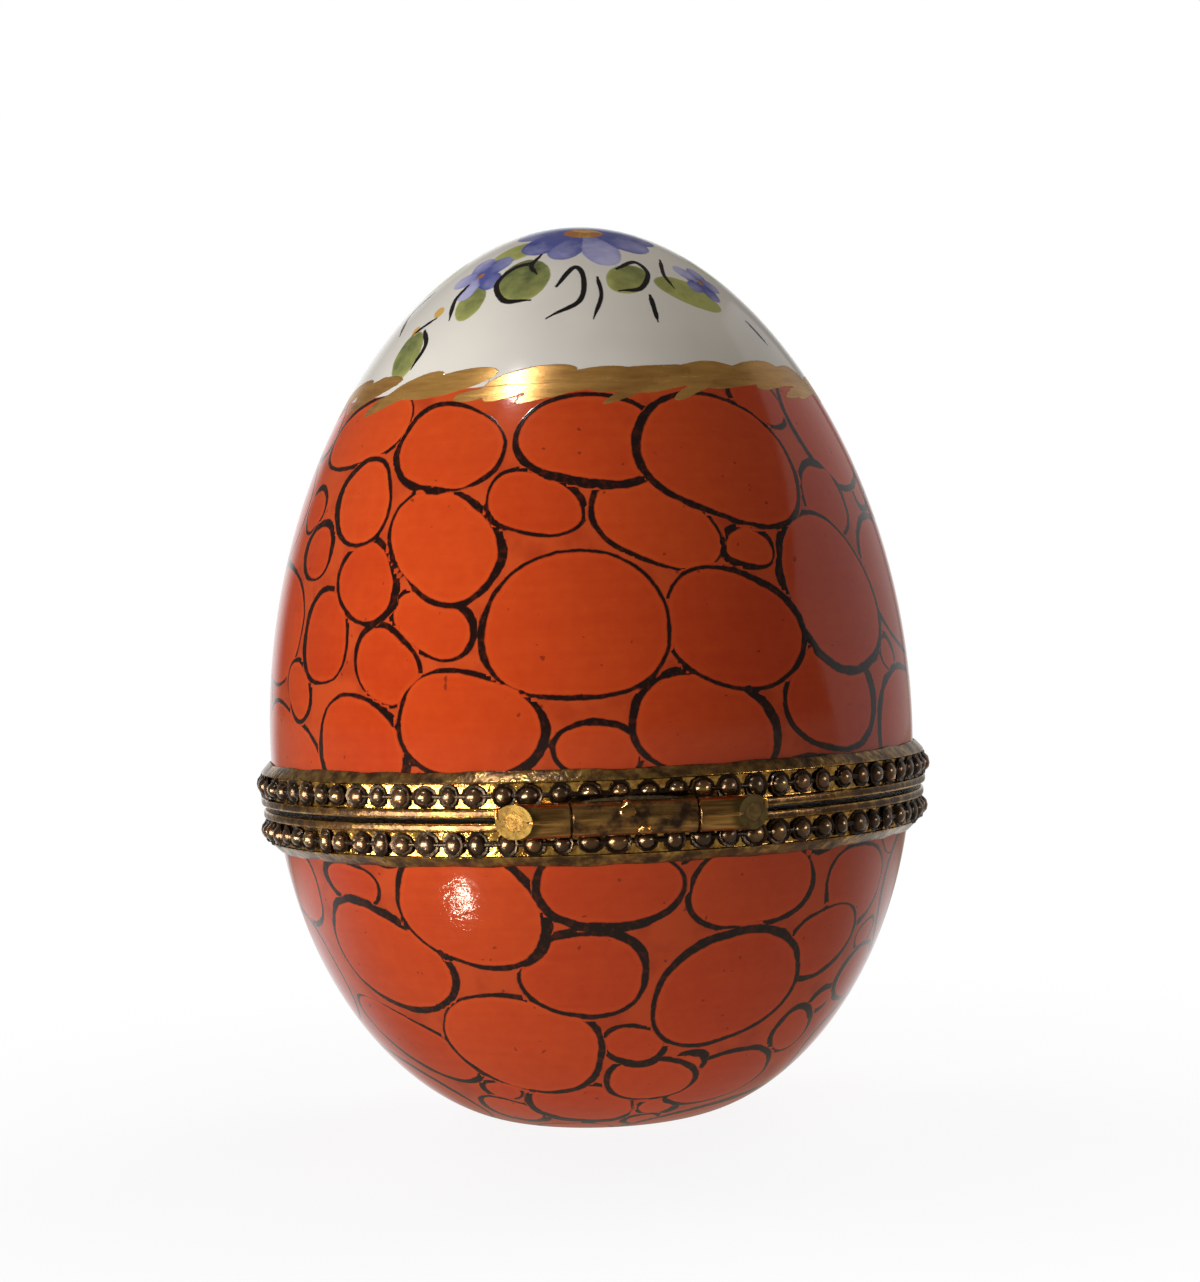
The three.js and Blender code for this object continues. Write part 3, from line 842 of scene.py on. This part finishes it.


# Brass: dark in the hollows, rubbed bright where it stands proud, by a value painted on each mesh for how worn it
# is, which on the bezels and the pearls also carries painted highlights and painted shade

def brass(name, look):
    paint = newFinish(name)
    noise, step, blend = paint.noise, paint.step, paint.blend
    wearAndPaintedLight, grime, fine = paint.read("wearAndPaintedLight"), noise(0.9, 4, 0.6), noise(look["grain"], 3)
    bare = step(wearAndPaintedLight + look["patchy"] * (grime - 0.5), 0.25, 0.8)
    filed = step(wearAndPaintedLight, 1.05, 1.25)
    tarnish = blend(look["dark"], look["brown"], step(noise(0.45, 3), 0.4, 0.65))
    metal = blend(look["brass"], look["bright"], step(fine, 0.3, 0.75))
    metal = blend(metal, blend(look["cutDark"], look["cut"], step(grime, 0.35, 0.6)), filed)
    colour = blend(tarnish, metal, bare)
    return paint.surface({
        # where the value is below zero, in the grooves round the pearls and on their wire, the colour goes near
        # black: grime and painted shade
        "Base Color": blend(look["grimeAndPaintedShade"], colour, 0.15 + 0.85 * step(wearAndPaintedLight, -0.2, 0.08)),
        "Roughness": look["rough"] + 0.14 * (1 - bare) + 0.1 * (fine - 0.5) + 0.1 * filed,
        "Metallic": 0.6 + 0.4 * bare,
        "Coat Weight": paint.read("lacquer"),  # only the pearls keep some
        "Coat Roughness": 0.12,
        "Normal": paint.bump((fine * 0.5 + grime) * (1 - 0.85 * filed), look["relief"]),
    })


bezelFinish = brass("bezelBrass", {
    "dark": tint(68, 46, 26), "brown": tint(104, 72, 42), "grimeAndPaintedShade": tint(26, 17, 11),
    "brass": tint(160, 114, 56), "bright": tint(232, 190, 104),
    "cut": tint(160, 114, 56), "cutDark": tint(120, 84, 42),
    "rough": 0.13, "relief": 0.07, "grain": 2.6, "patchy": 1.1,
})
hingeFinish = brass("hingeBrass", {
    "dark": tint(50, 32, 18), "brown": tint(94, 64, 36), "grimeAndPaintedShade": tint(26, 17, 11),
    "brass": tint(150, 106, 56), "bright": tint(218, 170, 100),
    "cut": tint(112, 92, 50), "cutDark": tint(84, 66, 35),
    "rough": 0.18, "relief": 0.05, "patchy": 1.5,
    "grain": (0.4, 5.0, 5.0),  # drawn along the barrel
})


# Bezels: side 1 is the lid's, side -1 the base's; rises are measured from the parting plane

bezel = {
    "mate": 0.15, "lipHeight": 0.5, "pearlHeight": 1.5, "edgeHeight": 0.75, "flange": 0.45, "flangeLap": 0.2,
    "gauge": 0.35, "bedding": 0.22, "lipReach": 0.25, "edgeReach": 0.15, "seat": 0.05, "crimp": 0.3,
    "fold": 0.16, "round": 0.16, "steps": 288, "sharp": 50,
    "waver": 0.09, "plain": 0.2,  # of the crimped edge, and the part of it that keeps straight
}
pearlStart = bezel["mate"] + bezel["lipHeight"]
pearlEnd = pearlStart + bezel["pearlHeight"]
pearlMiddle = (pearlStart + pearlEnd) / 2
bezelTop = pearlEnd + bezel["edgeHeight"]

hinge = {
    "radius": 1.0, "bore": 0.55, "pin": 0.53, "middle": 7.2, "outer": 4.2, "gap": 0.1, "saddle": 0.12,
    "relief": 0.45, "segments": 48, "pinSegments": 32, "bevel": 0.07,
    # place along the barrel, degrees above its front, half sizes along, out and round
    "solder": [(-0.45, 41, (0.5, 0.37, 0.8)), (0.55, -45, (0.48, 0.34, 0.4))],
    "sunk": (0.13, 0.25),  # how deep the solder's middle and its back lie in the barrel
}
axisY = frame["joints"][0]["pos_m"][1] / mm
hingeOuter = hinge["middle"] / 2 + hinge["gap"]
hingeEnd = hingeOuter + hinge["outer"]


def skin(side, rise):
    return float(radiusAt(parting + side * rise))


def channel(side, rise):
    return skin(side, rise) + bezel["bedding"] + bezel["gauge"]


def barAlong(radius, length, segments):  # a round bar along X
    bm = bmesh.new()
    size = {"radius1": radius, "radius2": radius, "depth": length, "segments": segments}
    bmesh.ops.create_cone(bm, cap_ends=True, **size)
    turnAll(bm, math.pi / 2, "Y")
    return bm


def rod(radius, start, end, segments=hinge["segments"]):  # one on the hinge's axis
    bm = barAlong(radius, end - start, segments)
    shiftAll(bm, (start + end) / 2, axisY, parting)
    return bm


def barrelRoom(side):  # a saddle for a bezel's own knuckles, and relief round the others
    wide = hinge["radius"] + hinge["relief"]
    joint = hingeOuter - hinge["gap"] / 2
    room = [rod(hinge["radius"] + hinge["saddle"], -hingeEnd, hingeEnd)]
    if side > 0:
        return room + [rod(wide, -joint, joint)]
    return room + [rod(wide, joint, hingeEnd), rod(wide, -hingeEnd, -joint)]


def rounded(corners, size, steps=3):  # corners marked with a share of the size get a small arc
    line = []
    for index, (point, share) in enumerate(corners):
        here, ends = Vector(point), []
        for beside, _ in (corners[index - 1], corners[(index + 1) % len(corners)]):
            way = Vector(beside) - here
            ends.append(here + way.normalized() * min(share * size, way.length * 0.48))
        line += arc(ends[0], here, ends[1], steps) if share else [tuple(here)]
    return line


def buildBezel(side, body):
    lip = channel(side, pearlStart) + bezel["lipReach"]
    edge = channel(side, pearlEnd) + bezel["edgeReach"]
    inner = skin(side, shell["rim"]) - egg["wall"] - bezel["flangeLap"]
    flange, crimp = bezel["mate"] + bezel["flange"], bezelTop - bezel["crimp"]
    section = rounded([
        ((inner, bezel["mate"]), 0.8), ((lip, bezel["mate"]), 1), ((lip, pearlStart), 1),
        ((channel(side, pearlStart), pearlStart + 0.02), 0.4),
        ((channel(side, pearlEnd), pearlEnd - 0.02), 0.4),
        ((edge, pearlEnd), 1), ((skin(side, bezelTop) + bezel["fold"], bezelTop - 0.06), 1.2),
        ((skin(side, bezelTop) + bezel["seat"], bezelTop), 0.5),
        ((skin(side, crimp) + bezel["seat"], crimp), 0), ((skin(side, crimp) + bezel["bedding"], crimp), 0),
        ((skin(side, flange) + bezel["bedding"], flange), 0), ((inner, flange), 0.8),
    ], bezel["round"])
    bm = lathe([(radius, parting + side * rise) for radius, rise in section], bezel["steps"], True)
    bm = carve(bm, barrelRoom(side))
    # the crimped edge was pressed down by hand, so it wavers
    free = bezel["edgeHeight"] - bezel["plain"]
    for point in bm.verts:
        rise = side * (point.co.z - parting) - pearlEnd - bezel["plain"]
        if rise > 0:
            turn = math.atan2(point.co.x, -point.co.y)
            wave = math.sin(9 * turn + side) + math.sin(23 * turn + 2) + 0.7 * math.sin(41 * turn + side * 3)
            point.co.z -= side * bezel["waver"] * 0.35 * (wave + 2.7) * rise / free
    piece = finishPiece(bm, body + "Bezel", body, [body + "_bezel"], [bezelFinish], bezel["sharp"])
    spots = spotsOf(piece)
    rise = side * (spots[:, 2] - parting)
    # the very lip, partly rubbed and partly a painted highlight, and the channel between the pearls, a painted
    # highlight of its facets catching the light, are painted bright; dull on the lip's face and the crimped edge
    wearAndPaintedLight = np.interp(rise, *zip(
        (bezel["mate"], 1.0), (bezel["mate"] + 0.14, 0.3), (pearlStart - 0.1, 0.3), (pearlStart, 0.8),
        (pearlEnd - 0.1, 0.8), (pearlEnd + 0.1, 0.42),
    ))
    # painted shade: the faces deep in the gap between the lips are painted dark, and the flange behind them
    # lighter again
    deep = lip - np.hypot(spots[:, 0], spots[:, 1])
    mating = (rise < bezel["mate"] + 0.02) & (deep > 0.15)
    paintOn(piece, "wearAndPaintedLight", np.where(mating, np.interp(deep, (0.2, 0.8, 1.3), (0.1, 0.1, 0.6)), wearAndPaintedLight))


pearls = {
    "pitch": 1.66, "segments": 10, "neck": 0.09, "seed": 3, "sharp": 60,
    # radius and height of a pearl, from its crown down the dome, through the groove and over the collar
    "section": [(0, 0.47), (0.32, 0.39), (0.52, 0.2), (0.59, 0.03), (0.77, 0.1), (0.82, 0)],
    # how each one strays: place along the row, sizes, height and tip
    "along": (-0.08, 0.08), "wide": (0.82, 1.06), "deep": (0.56, 1.0), "tall": (0.8, 1.04),
    "rise": (-0.03, 0.03), "tip": (-0.18, 0.18),
    "press": (0.04, 0.08),  # how far they reach into a saddle and into the relief
}


def pearlShape():  # looks along -Y
    bm = threaded([(radius, -height, 0) for radius, height in pearls["section"]])
    spin(bm, (0, 1, 0), fullTurn, pearls["segments"], True)
    bmesh.ops.remove_doubles(bm, verts=bm.verts, dist=1e-4)
    bmesh.ops.edgeloop_fill(bm, edges=[e for e in bm.edges if e.is_boundary])
    return meshFrom(settle(bm), "pearlShape")


def buildPearls(side, body):
    rng = np.random.default_rng(pearls["seed"] + side)

    def stray(name):
        return rng.uniform(*pearls[name])

    back = max(channel(side, pearlStart), channel(side, pearlEnd)) + bezel["seat"]
    middle = parting + side * pearlMiddle
    count = round(fullTurn * back / pearls["pitch"])
    half, foot = pearls["neck"], 1.6 * pearls["neck"]
    wire = [(back + 0.01, middle - foot), (back + half, middle - half)]
    wire += [(back + half, middle + half), (back + 0.01, middle + foot)]
    ring = looseObject(lathe(wire, bezel["steps"], True), "pearlRing")
    bm = bmesh.new()  # a fresh one keeps its points in the order they are added
    bm.from_mesh(ring.data)
    bpy.data.objects.remove(ring)
    shape = pearlShape()
    for index in range(count):
        turn = (index + 0.5 + stray("along")) * fullTurn / count
        first = len(bm.verts)
        bm.from_mesh(shape)
        bm.verts.ensure_lookup_table()
        fresh = bm.verts[first:]
        size = Matrix.Diagonal((stray("wide"), stray("deep"), stray("tall"), 1))
        spot = Matrix.Translation((0, -back, middle + stray("rise")))
        tip = Matrix.Rotation(stray("tip"), 4, "Z")
        bmesh.ops.transform(bm, verts=fresh, matrix=Matrix.Rotation(turn, 4, "Z") @ spot @ tip @ size)
    # what would stand in the hinge's room is pressed flat against its wall
    rooms = [hinge["radius"] + hinge[name] - press for name, press in zip(("saddle", "relief"), pearls["press"])]
    outerRoom, middleRoom = rooms[::side]
    for point in bm.verts:
        if abs(point.co.x) < hingeEnd + 0.1 and point.co.y < 0:
            across = Vector((0, point.co.y - axisY, point.co.z - parting))
            room = middleRoom if abs(point.co.x) < hingeOuter else outerRoom
            if across.length < room:
                push = across.normalized() * room
                point.co.y, point.co.z = axisY + push.y, parting + push.z
    node = body + "_pearl_wire"
    piece = finishPiece(bm, body + "Pearls", body, [node], [bezelFinish], pearls["sharp"])
    spots = spotsOf(piece)
    proud = np.hypot(spots[:, 0], spots[:, 1]) - back
    # rubbed bright on the crowns; below zero in the grooves and on the wire, which the brass finish paints near
    # black as grime and painted shade
    paintOn(piece, "wearAndPaintedLight", np.clip(2.0 * (proud - 0.18), -0.3, 1))
    paintOn(piece, "lacquer", np.clip(4.0 * (proud - 0.14), 0, 1))


for side, body in ((1, "lid"), (-1, "base")):
    buildBezel(side, body)
    buildPearls(side, body)
print("bezels and pearls set")


# Hinge: bevelled tubes on one pin, with ends filed back at 45 degrees

def tube(start, end):
    bore, radius, bevel = hinge["bore"], hinge["radius"], hinge["bevel"]
    section = [(bore, start), (radius - bevel, start), (radius, start + bevel)]
    section += [(radius, end - bevel), (radius - bevel, end), (bore, end)]
    bm = lathe(section, hinge["segments"], True)
    turnAll(bm, math.pi / 2, "Y")
    shiftAll(bm, 0, axisY, parting)
    return bm


def fileEnd(bm, end, close):  # cuts the barrel's end on the slant and closes the cut
    edges = cutAway(bm, (end * hingeEnd, axisY + hinge["radius"], 0), (end, -1, 0))
    close(bm, edges=edges)
    settle(bm)


def leaf(bm, end):  # fills the wedge between an outer knuckle and the round bezel
    ring = channel(1, pearlStart) + bezel["lipReach"] + bezel["seat"]
    front = axisY + (hinge["bore"] + hinge["radius"]) / 2
    made = bmesh.ops.create_grid(bm, x_segments=12, y_segments=1, size=0.5)["verts"]
    for point in made:
        back = point.co.y > 0
        x = hingeOuter + (point.co.x + 0.5) * hinge["outer"]
        y = max(-math.sqrt(ring**2 - x**2), front + 0.02) if back else front
        point.co = (end * x, y, parting + bezel["mate"])
    pushOut(bm, list({face for point in made for face in point.link_faces}), (0, 0, bezel["lipHeight"]))
    bmesh.ops.recalc_face_normals(bm, faces=bm.faces)


def solderBlob(bm, x, angle, size):  # a lump of solder wrapped round the barrel
    for point in bmesh.ops.create_icosphere(bm, subdivisions=3, radius=1.0)["verts"]:
        along, out, around = point.co * (1 + 0.12 * math.sin(4 * point.co.x + 3 * point.co.z))
        reach = hinge["radius"] + max(out * size[1] - hinge["sunk"][0], -hinge["sunk"][1])
        turn = math.radians(angle) + around * size[2] / hinge["radius"]
        forward = min(reach * math.cos(turn), hinge["radius"])  # filed level with the barrel's front
        point.co = (x + along * size[0], axisY - forward, parting + reach * math.sin(turn))
    settle(bm)


def buildKnuckle(bm, name, body, node, level, ends):  # worn to a level, its filed ends to another
    piece = finishPiece(bm, name, body, [node], [hingeFinish])
    spots = spotsOf(piece)
    out, radius = spots[:, 1] - axisY, hinge["radius"]
    inward = radius - np.hypot(out, spots[:, 2] - parting)
    filed = (np.abs(spots[:, 0]) > hingeEnd - radius + out - 0.02) & (np.abs(out) <= radius)
    rubbed = np.clip(level - np.where(inward < -0.01, 9, 0.8) * inward, 0, 1)  # the solder most
    paintOn(piece, "wearAndPaintedLight", np.where(filed, ends, rubbed))


def buildHinge():
    middle = tube(-hinge["middle"] / 2, hinge["middle"] / 2)
    for blob in hinge["solder"]:
        solderBlob(middle, *blob)
    buildKnuckle(middle, "baseKnuckle", "base", "base_knuckle", 0.5, 0.5)
    for end, word in ((-1, "Left"), (1, "Right")):
        outer = tube(*sorted((end * hingeOuter, end * hingeEnd)))
        fileEnd(outer, end, bmesh.ops.bridge_loops)
        leaf(outer, end)
        buildKnuckle(outer, "lidKnuckle" + word, "lid", "lid_knuckle_" + word.lower(), 0.55, 1.3)
    pin = rod(hinge["pin"], -hingeEnd, hingeEnd, hinge["pinSegments"])
    for end in (-1, 1):
        fileEnd(pin, end, bmesh.ops.edgeloop_fill)
    buildKnuckle(pin, "hingePin", "lid", "hinge_pin", 0.2, 1.2)


buildHinge()
print("hinge laid in")


# Clasp on the far side: a tongue on the lid that springs over a catch on the base

clasp = {
    "width": 5.0, "tipWidth": 2.8, "thick": 0.5, "drop": 2.6, "thumbReach": 0.8, "thumbRise": 0.9,
    "catchLength": 2.4, "catchDepth": 0.4, "catchHeight": 0.9, "catchSegments": 28, "catchBevel": 0.06,
    "room": 0.1, "bossRadius": 1.1, "bossHeight": 0.55, "bossRim": 0.12, "bossSegments": 40,
    "pearlDepth": 0.48, "bevel": 0.09, "shoulder": 0.18,
    "bossDome": 0.78,  # share of the radius, and so are the first numbers here
    "bossEdge": [(0.84, 0.1), (0.9, 0.17), (0.96, 0.17), (1, 0.1), (1, 0), (0, 0)],
}


def pearlFace(side):
    return max(channel(side, pearlStart), channel(side, pearlEnd)) + bezel["seat"] + clasp["pearlDepth"]


tongueBack = max(pearlFace(1), pearlFace(-1) + clasp["catchDepth"] + clasp["room"]) + bezel["seat"]
tongueFront = tongueBack + clasp["thick"]


def prism(points, axes, low, high):  # a flat outline extruded along the axis that is left over
    bm = bmesh.new()
    corners = []
    for first, second in points:
        place = [low, low, low]
        place[axes[0]], place[axes[1]] = first, second
        corners.append(bm.verts.new(place))
    way = [0 if axis in axes else high - low for axis in range(3)]
    pushOut(bm, [bm.faces.new(corners)], way)
    return settle(bm)


def bevelled(bm, size, above):  # rounds every edge sharper than an angle
    sharp = [e for e in bm.edges if len(e.link_faces) == 2 and e.calc_face_angle() > math.radians(above)]
    kind = {"affect": "EDGES", "segments": 2, "profile": 0.5, "material": -1, "clamp_overlap": True}
    bmesh.ops.bevel(bm, geom=sharp, offset=size, **kind)
    return settle(bm)


def buildTongue():
    top, thumbTop, half = parting + pearlEnd, parting - clasp["drop"], clasp["width"] / 2
    seat, start, shoulder = pearlFace(1) + bezel["seat"], parting + pearlStart, clasp["shoulder"]
    low, lipFront = thumbTop - clasp["thick"], tongueFront + clasp["thumbReach"]
    bend = thumbTop + clasp["thumbRise"]
    side = [(seat, start), (tongueBack, start - (tongueBack - seat))]
    side += arc((tongueBack, bend), (tongueBack, low), (lipFront, low), 10)
    side += arc((lipFront, thumbTop), (tongueFront, thumbTop), (tongueFront, bend), 10)
    side += [(tongueFront, top - shoulder), (tongueFront - shoulder, top), (seat, top)]
    tip, centre = clasp["tipWidth"] / 2, thumbTop + clasp["tipWidth"] / 2 - clasp["thick"]
    front = [(-half, top), (-tip, centre + clasp["thick"])]
    front += [(tip * math.cos(a), centre + tip * math.sin(a)) for a in np.linspace(math.pi, fullTurn, 19)]
    front += [(tip, centre + clasp["thick"]), (half, top)]
    strip = prism(side, (1, 2), -half - 1, half + 1)
    tongue = carve(strip, [prism(front, (0, 2), 0, 3 * lipFront)], "INTERSECT")
    bevelled(tongue, clasp["bevel"], 40)
    piece = finishPiece(tongue, "claspTongue", "lid", ["clasp_tongue"], [bezelFinish])
    paintOn(piece, "wearAndPaintedLight", np.clip(0.3 + 0.5 * (spotsOf(piece)[:, 1] - tongueBack), 0, 1))


def buildBoss():
    rim, height, foot = clasp["bossRadius"], clasp["bossHeight"], clasp["bossRim"]
    wide = clasp["bossDome"] * rim
    dome = [(0, height)]
    for share in np.linspace(0, 1, 9)[1:]:
        angle = share * math.pi / 2
        dome.append((wide * math.sin(angle), foot + (height - foot) * math.cos(angle)))
    dome += [(share * rim, rise) for share, rise in clasp["bossEdge"]]
    boss = lathe(dome, clasp["bossSegments"], False)
    turnAll(boss, -math.pi / 2, "X")
    shiftAll(boss, 0, tongueFront + bezel["seat"], parting)
    piece = finishPiece(boss, "claspBoss", "lid", ["clasp_boss"], [hingeFinish])
    paintOn(piece, "wearAndPaintedLight", np.clip(0.1 + 1.6 * (spotsOf(piece)[:, 1] - tongueFront), 0, 1))


def buildCatch():
    catch = barAlong(1, clasp["catchLength"], clasp["catchSegments"])
    bmesh.ops.scale(catch, verts=catch.verts, vec=(1, clasp["catchDepth"], clasp["catchHeight"] / 2))
    bmesh.ops.edgeloop_fill(catch, edges=cutAway(catch, (0, 0, 0), (0, -1, 0)))
    bevelled(settle(catch), clasp["catchBevel"], 50)
    shiftAll(catch, 0, pearlFace(-1) + bezel["seat"], parting - pearlMiddle)
    piece = finishPiece(catch, "claspCatch", "base", ["clasp_catch"], [hingeFinish])
    paintOn(piece, "wearAndPaintedLight", np.full(len(piece.data.vertices), 0.7))


buildTongue()
buildBoss()
buildCatch()
print("clasp hung")


# Cement beds stay as the CAD solids, in a chalky finish

def cement():
    paint = newFinish("bezelCement")
    grit = paint.noise(4.0, 4, 0.65)
    colour = paint.blend(tint(66, 54, 38), tint(98, 84, 62), paint.step(grit, 0.35, 0.65))
    rough = 0.75 + 0.2 * grit
    return paint.surface({"Base Color": colour, "Roughness": rough, "Normal": paint.bump(grit, 0.06)})


cementFinish = cement()
for node in ("base_cement", "lid_cement"):
    bed = frame["nodes"][node].data.materials
    bed.clear()
    bed.append(cementFinish)


# Studio: a pale floor keeps a soft shadow near the egg and runs out into white; lengths in metres.
# In mirrors it is dim on the viewer's side, like the room there, and white behind

stage = {
    "floor": 1.6,
    "shadow": (0.02, 0.075),  # where it starts to fade and where it ends
    "shadowDepth": 0.1,
    "bright": (0.86, 0.98),  # share of the way to the back at which mirrors see white
    "sides": (-0.3, 1.0),  # the same for the floor beside the egg
    "glow": (0.05, 0.12),  # distance at which that fades
    "bounce": (0.035, 0.11),  # distance at which the light thrown back fades from near to far
    "near": (0.66, 0.53, 0.41, 1),
    "far": (0.115, 0.1, 0.085, 1),
    "dim": (0.3, 0.27, 0.225, 1),
    "room": (0.12, 0.112, 0.1, 1),
    "ambient": (0.04, 0.035, 0.03, 1),
    "matte": (0.85, 0.85, 0.85, 1),
    "white": (1, 1, 1, 1),
}


def floorFinish():
    paint = newFinish("studioFloor")
    blend, step, white = paint.blend, paint.step, stage["white"]
    camera, mirrored = paint.rays()
    spot = paint.node("ShaderNodeTexCoord", output=3)
    way = paint.node("ShaderNodeVectorMath", {"operation": "NORMALIZE"}, {0: spot})
    facing = paint.node("ShaderNodeSeparateXYZ", {}, {0: way}, output=1)
    reach = paint.node("ShaderNodeVectorMath", {"operation": "LENGTH"}, {0: spot}, output=1)
    beside = step(facing, *stage["sides"]) * (1 - step(reach, *stage["glow"]))
    mirror = blend(stage["dim"], white, beside.most(step(facing, *stage["bright"])))
    bounce = blend(stage["near"], stage["far"], step(reach, *stage["bounce"]))
    colour = blend(blend(bounce, mirror, mirrored), white, camera)
    matte = paint.node("ShaderNodeBsdfDiffuse", {}, {"Color": stage["matte"]})
    glow = paint.node("ShaderNodeEmission", {}, {"Color": colour, "Strength": 1.0})
    share = 1 - camera * stage["shadowDepth"] * (1 - step(reach, *stage["shadow"]))
    paint.owner.cycles.emission_sampling = "NONE"
    return paint.show(paint.node("ShaderNodeMixShader", {}, {0: share, 1: matte, 2: glow}))


def buildFloor():
    bm = bmesh.new()
    bmesh.ops.create_circle(bm, cap_ends=True, segments=96, radius=stage["floor"])
    floor = looseObject(bm, "studioFloor")
    floor.data.materials.append(floorFinish())


buildFloor()


# Camera, set by the photograph's own perspective: azimuth and yaw in degrees, pitch and roll in radians,
# lengths in mm, the focal length and the frame in pixels

view = {
    "azimuth": -6.0, "yaw": 0.246, "pitch": 0.016, "roll": 0.036, "distance": 178.0, "height": 33.2,
    "focal": 2752.0, "frame": (1200, 1282),
}


def buildCamera():
    data = bpy.data.cameras.new("photoCamera")
    data.sensor_width = 36.0
    data.lens = view["focal"] / max(view["frame"]) * data.sensor_width
    data.clip_start = 0.01
    camera = bpy.data.objects.new("photoCamera", data)
    scene.collection.objects.link(camera)
    turn = math.radians(view["azimuth"])
    place = Vector((math.sin(turn) * view["distance"], -math.cos(turn) * view["distance"], view["height"])) * mm
    aim = Matrix.Rotation(turn - math.radians(view["yaw"]), 4, "Z")
    tilt = Matrix.Rotation(math.pi / 2 - view["pitch"], 4, "X")
    camera.matrix_world = Matrix.Translation(place) @ aim @ tilt @ Matrix.Rotation(-view["roll"], 4, "Z")
    scene.camera = camera


buildCamera()


# Lamps: a beam has its half width at the aim and its half height there

brassOnly = {"aim": (0, 0, 21), "diffuse": False, "only": ("Bezel", "Pearls", "nuckle", "Pin", "clasp")}
scuffOnly = {"aim": (-9.6, -17.3, 16.1), "diffuse": False}
warm = (1, 0.88, 0.66)
# name, azimuth to the right of the camera's own side, elevation, distance, size, power
lamps = [
    ("keyLamp", -32, 8, 300, (12, 12), 3.9, {"aim": (-1.4, 1.0, 31), "glossy": False, "beam": (23.5, 44)}),
    ("topLamp", 40, 64, 450, (220, 220), 0.24, {"glossy": False, "hue": (1, 0.9, 0.78)}),
    ("fillLampRight", 142, 32, 520, (320, 320), 2.0, {"glossy": False}),
    ("fillLampLeft", -135, 32, 520, (320, 320), 1.7, {"glossy": False}),
    ("bandLamp", -48, 60, 420, (22, 22), 0.55, {"aim": (0, -14, 46), "diffuse": False}),
    ("brassLamp", -52, 2, 300, (240, 40), 1.4, {**brassOnly, "hue": warm}),
    ("lipLamp", -52, -9.5, 70, (55, 9), 0.042, {**brassOnly, "hue": warm, "only": ("Bezel", "Pearls")}),
    ("windowLamp", 62, 10, 300, (120, 60), 0.22, {**brassOnly, "hue": (1, 0.9, 0.76)}),
    ("spotLamp", -53, -29, 28, (3, 3), 0.0024, {**scuffOnly, "hue": (1, 0.9, 0.7)}),
]


def lampAt(
    name, azimuth, elevation, distance, size, power,
    aim=(0, 0, 28), hue=(1, 1, 1), glossy=True, diffuse=True, beam=None, only=None,
):
    turn, rise = math.radians(azimuth + view["azimuth"]), math.radians(elevation)
    way = Vector((math.sin(turn) * math.cos(rise), -math.cos(turn) * math.cos(rise), math.sin(rise)))
    light = bpy.data.lights.new(name, "SPOT" if beam else "AREA")
    lamp = bpy.data.objects.new(name, light)
    if beam:
        light.spot_size, light.spot_blend = 2 * math.atan(beam[0] / distance), 1.0
        light.shadow_soft_size = size[0] * mm
        lamp.scale = (1, beam[1] / beam[0], 1)
    else:
        light.shape, light.size, light.size_y = "RECTANGLE", size[0] * mm, size[1] * mm
    light.energy, light.color = power, hue
    # otherwise a faint ghost of a lamp that mirrors shouldn't show stays in the glaze
    light.cycles.use_multiple_importance_sampling = glossy
    scene.collection.objects.link(lamp)
    lamp.location = Vector(aim) * mm + way * distance * mm
    lamp.rotation_euler = (-way).to_track_quat("-Z", "Y").to_euler()
    lamp.visible_camera = False
    lamp.visible_glossy, lamp.visible_diffuse = glossy, diffuse
    if only:  # words in the names of the pieces that it lights
        lit = bpy.data.collections.new(name + "Lit")
        for word, piece in pieces.items():
            if any(part in word for part in only):
                lit.objects.link(piece)
        lamp.light_linking.receiver_collection = lit


for *place, changes in lamps:
    lampAt(*place, **changes)


# Tall pale card to the right, seen only as a sheen on the glaze and the brass

card = {"across": 200, "near": [(10, 2), (-41, 83), (40, 170), (157, 278)], "far": 420, "strength": 0.42}


def buildCard():
    bm = bmesh.new()
    line = [*card["near"], (card["far"], card["near"][-1][1]), (card["far"], card["near"][0][1])]
    bm.faces.new([bm.verts.new((card["across"], along, height)) for along, height in line])
    turnAll(bm, math.radians(view["azimuth"]), "Z")
    bmesh.ops.scale(bm, verts=bm.verts, vec=(mm, mm, mm))
    made = looseObject(bm, "sideCard")
    paint = newFinish("sideCard")
    shine = {"Color": stage["white"], "Strength": card["strength"]}
    made.data.materials.append(paint.show(paint.node("ShaderNodeEmission", {}, shine)))
    made.visible_camera = made.visible_diffuse = made.visible_shadow = made.visible_transmission = False


buildCard()


def buildWorld():
    paint = Finish(bpy.data.worlds.new("studioWorld"))
    camera, mirrored = paint.rays()
    way = paint.node("ShaderNodeTexCoord", output=0)
    back = paint.node("ShaderNodeSeparateXYZ", {}, {0: way}, output=1)
    room = paint.blend(stage["room"], stage["white"], paint.step(back, *stage["bright"]))
    light = paint.blend(paint.blend(stage["ambient"], room, mirrored), stage["white"], camera)
    glow = paint.node("ShaderNodeBackground", {}, {"Color": light, "Strength": 1.0})
    scene.world = paint.show(glow, "World")


buildWorld()
print("studio lit")
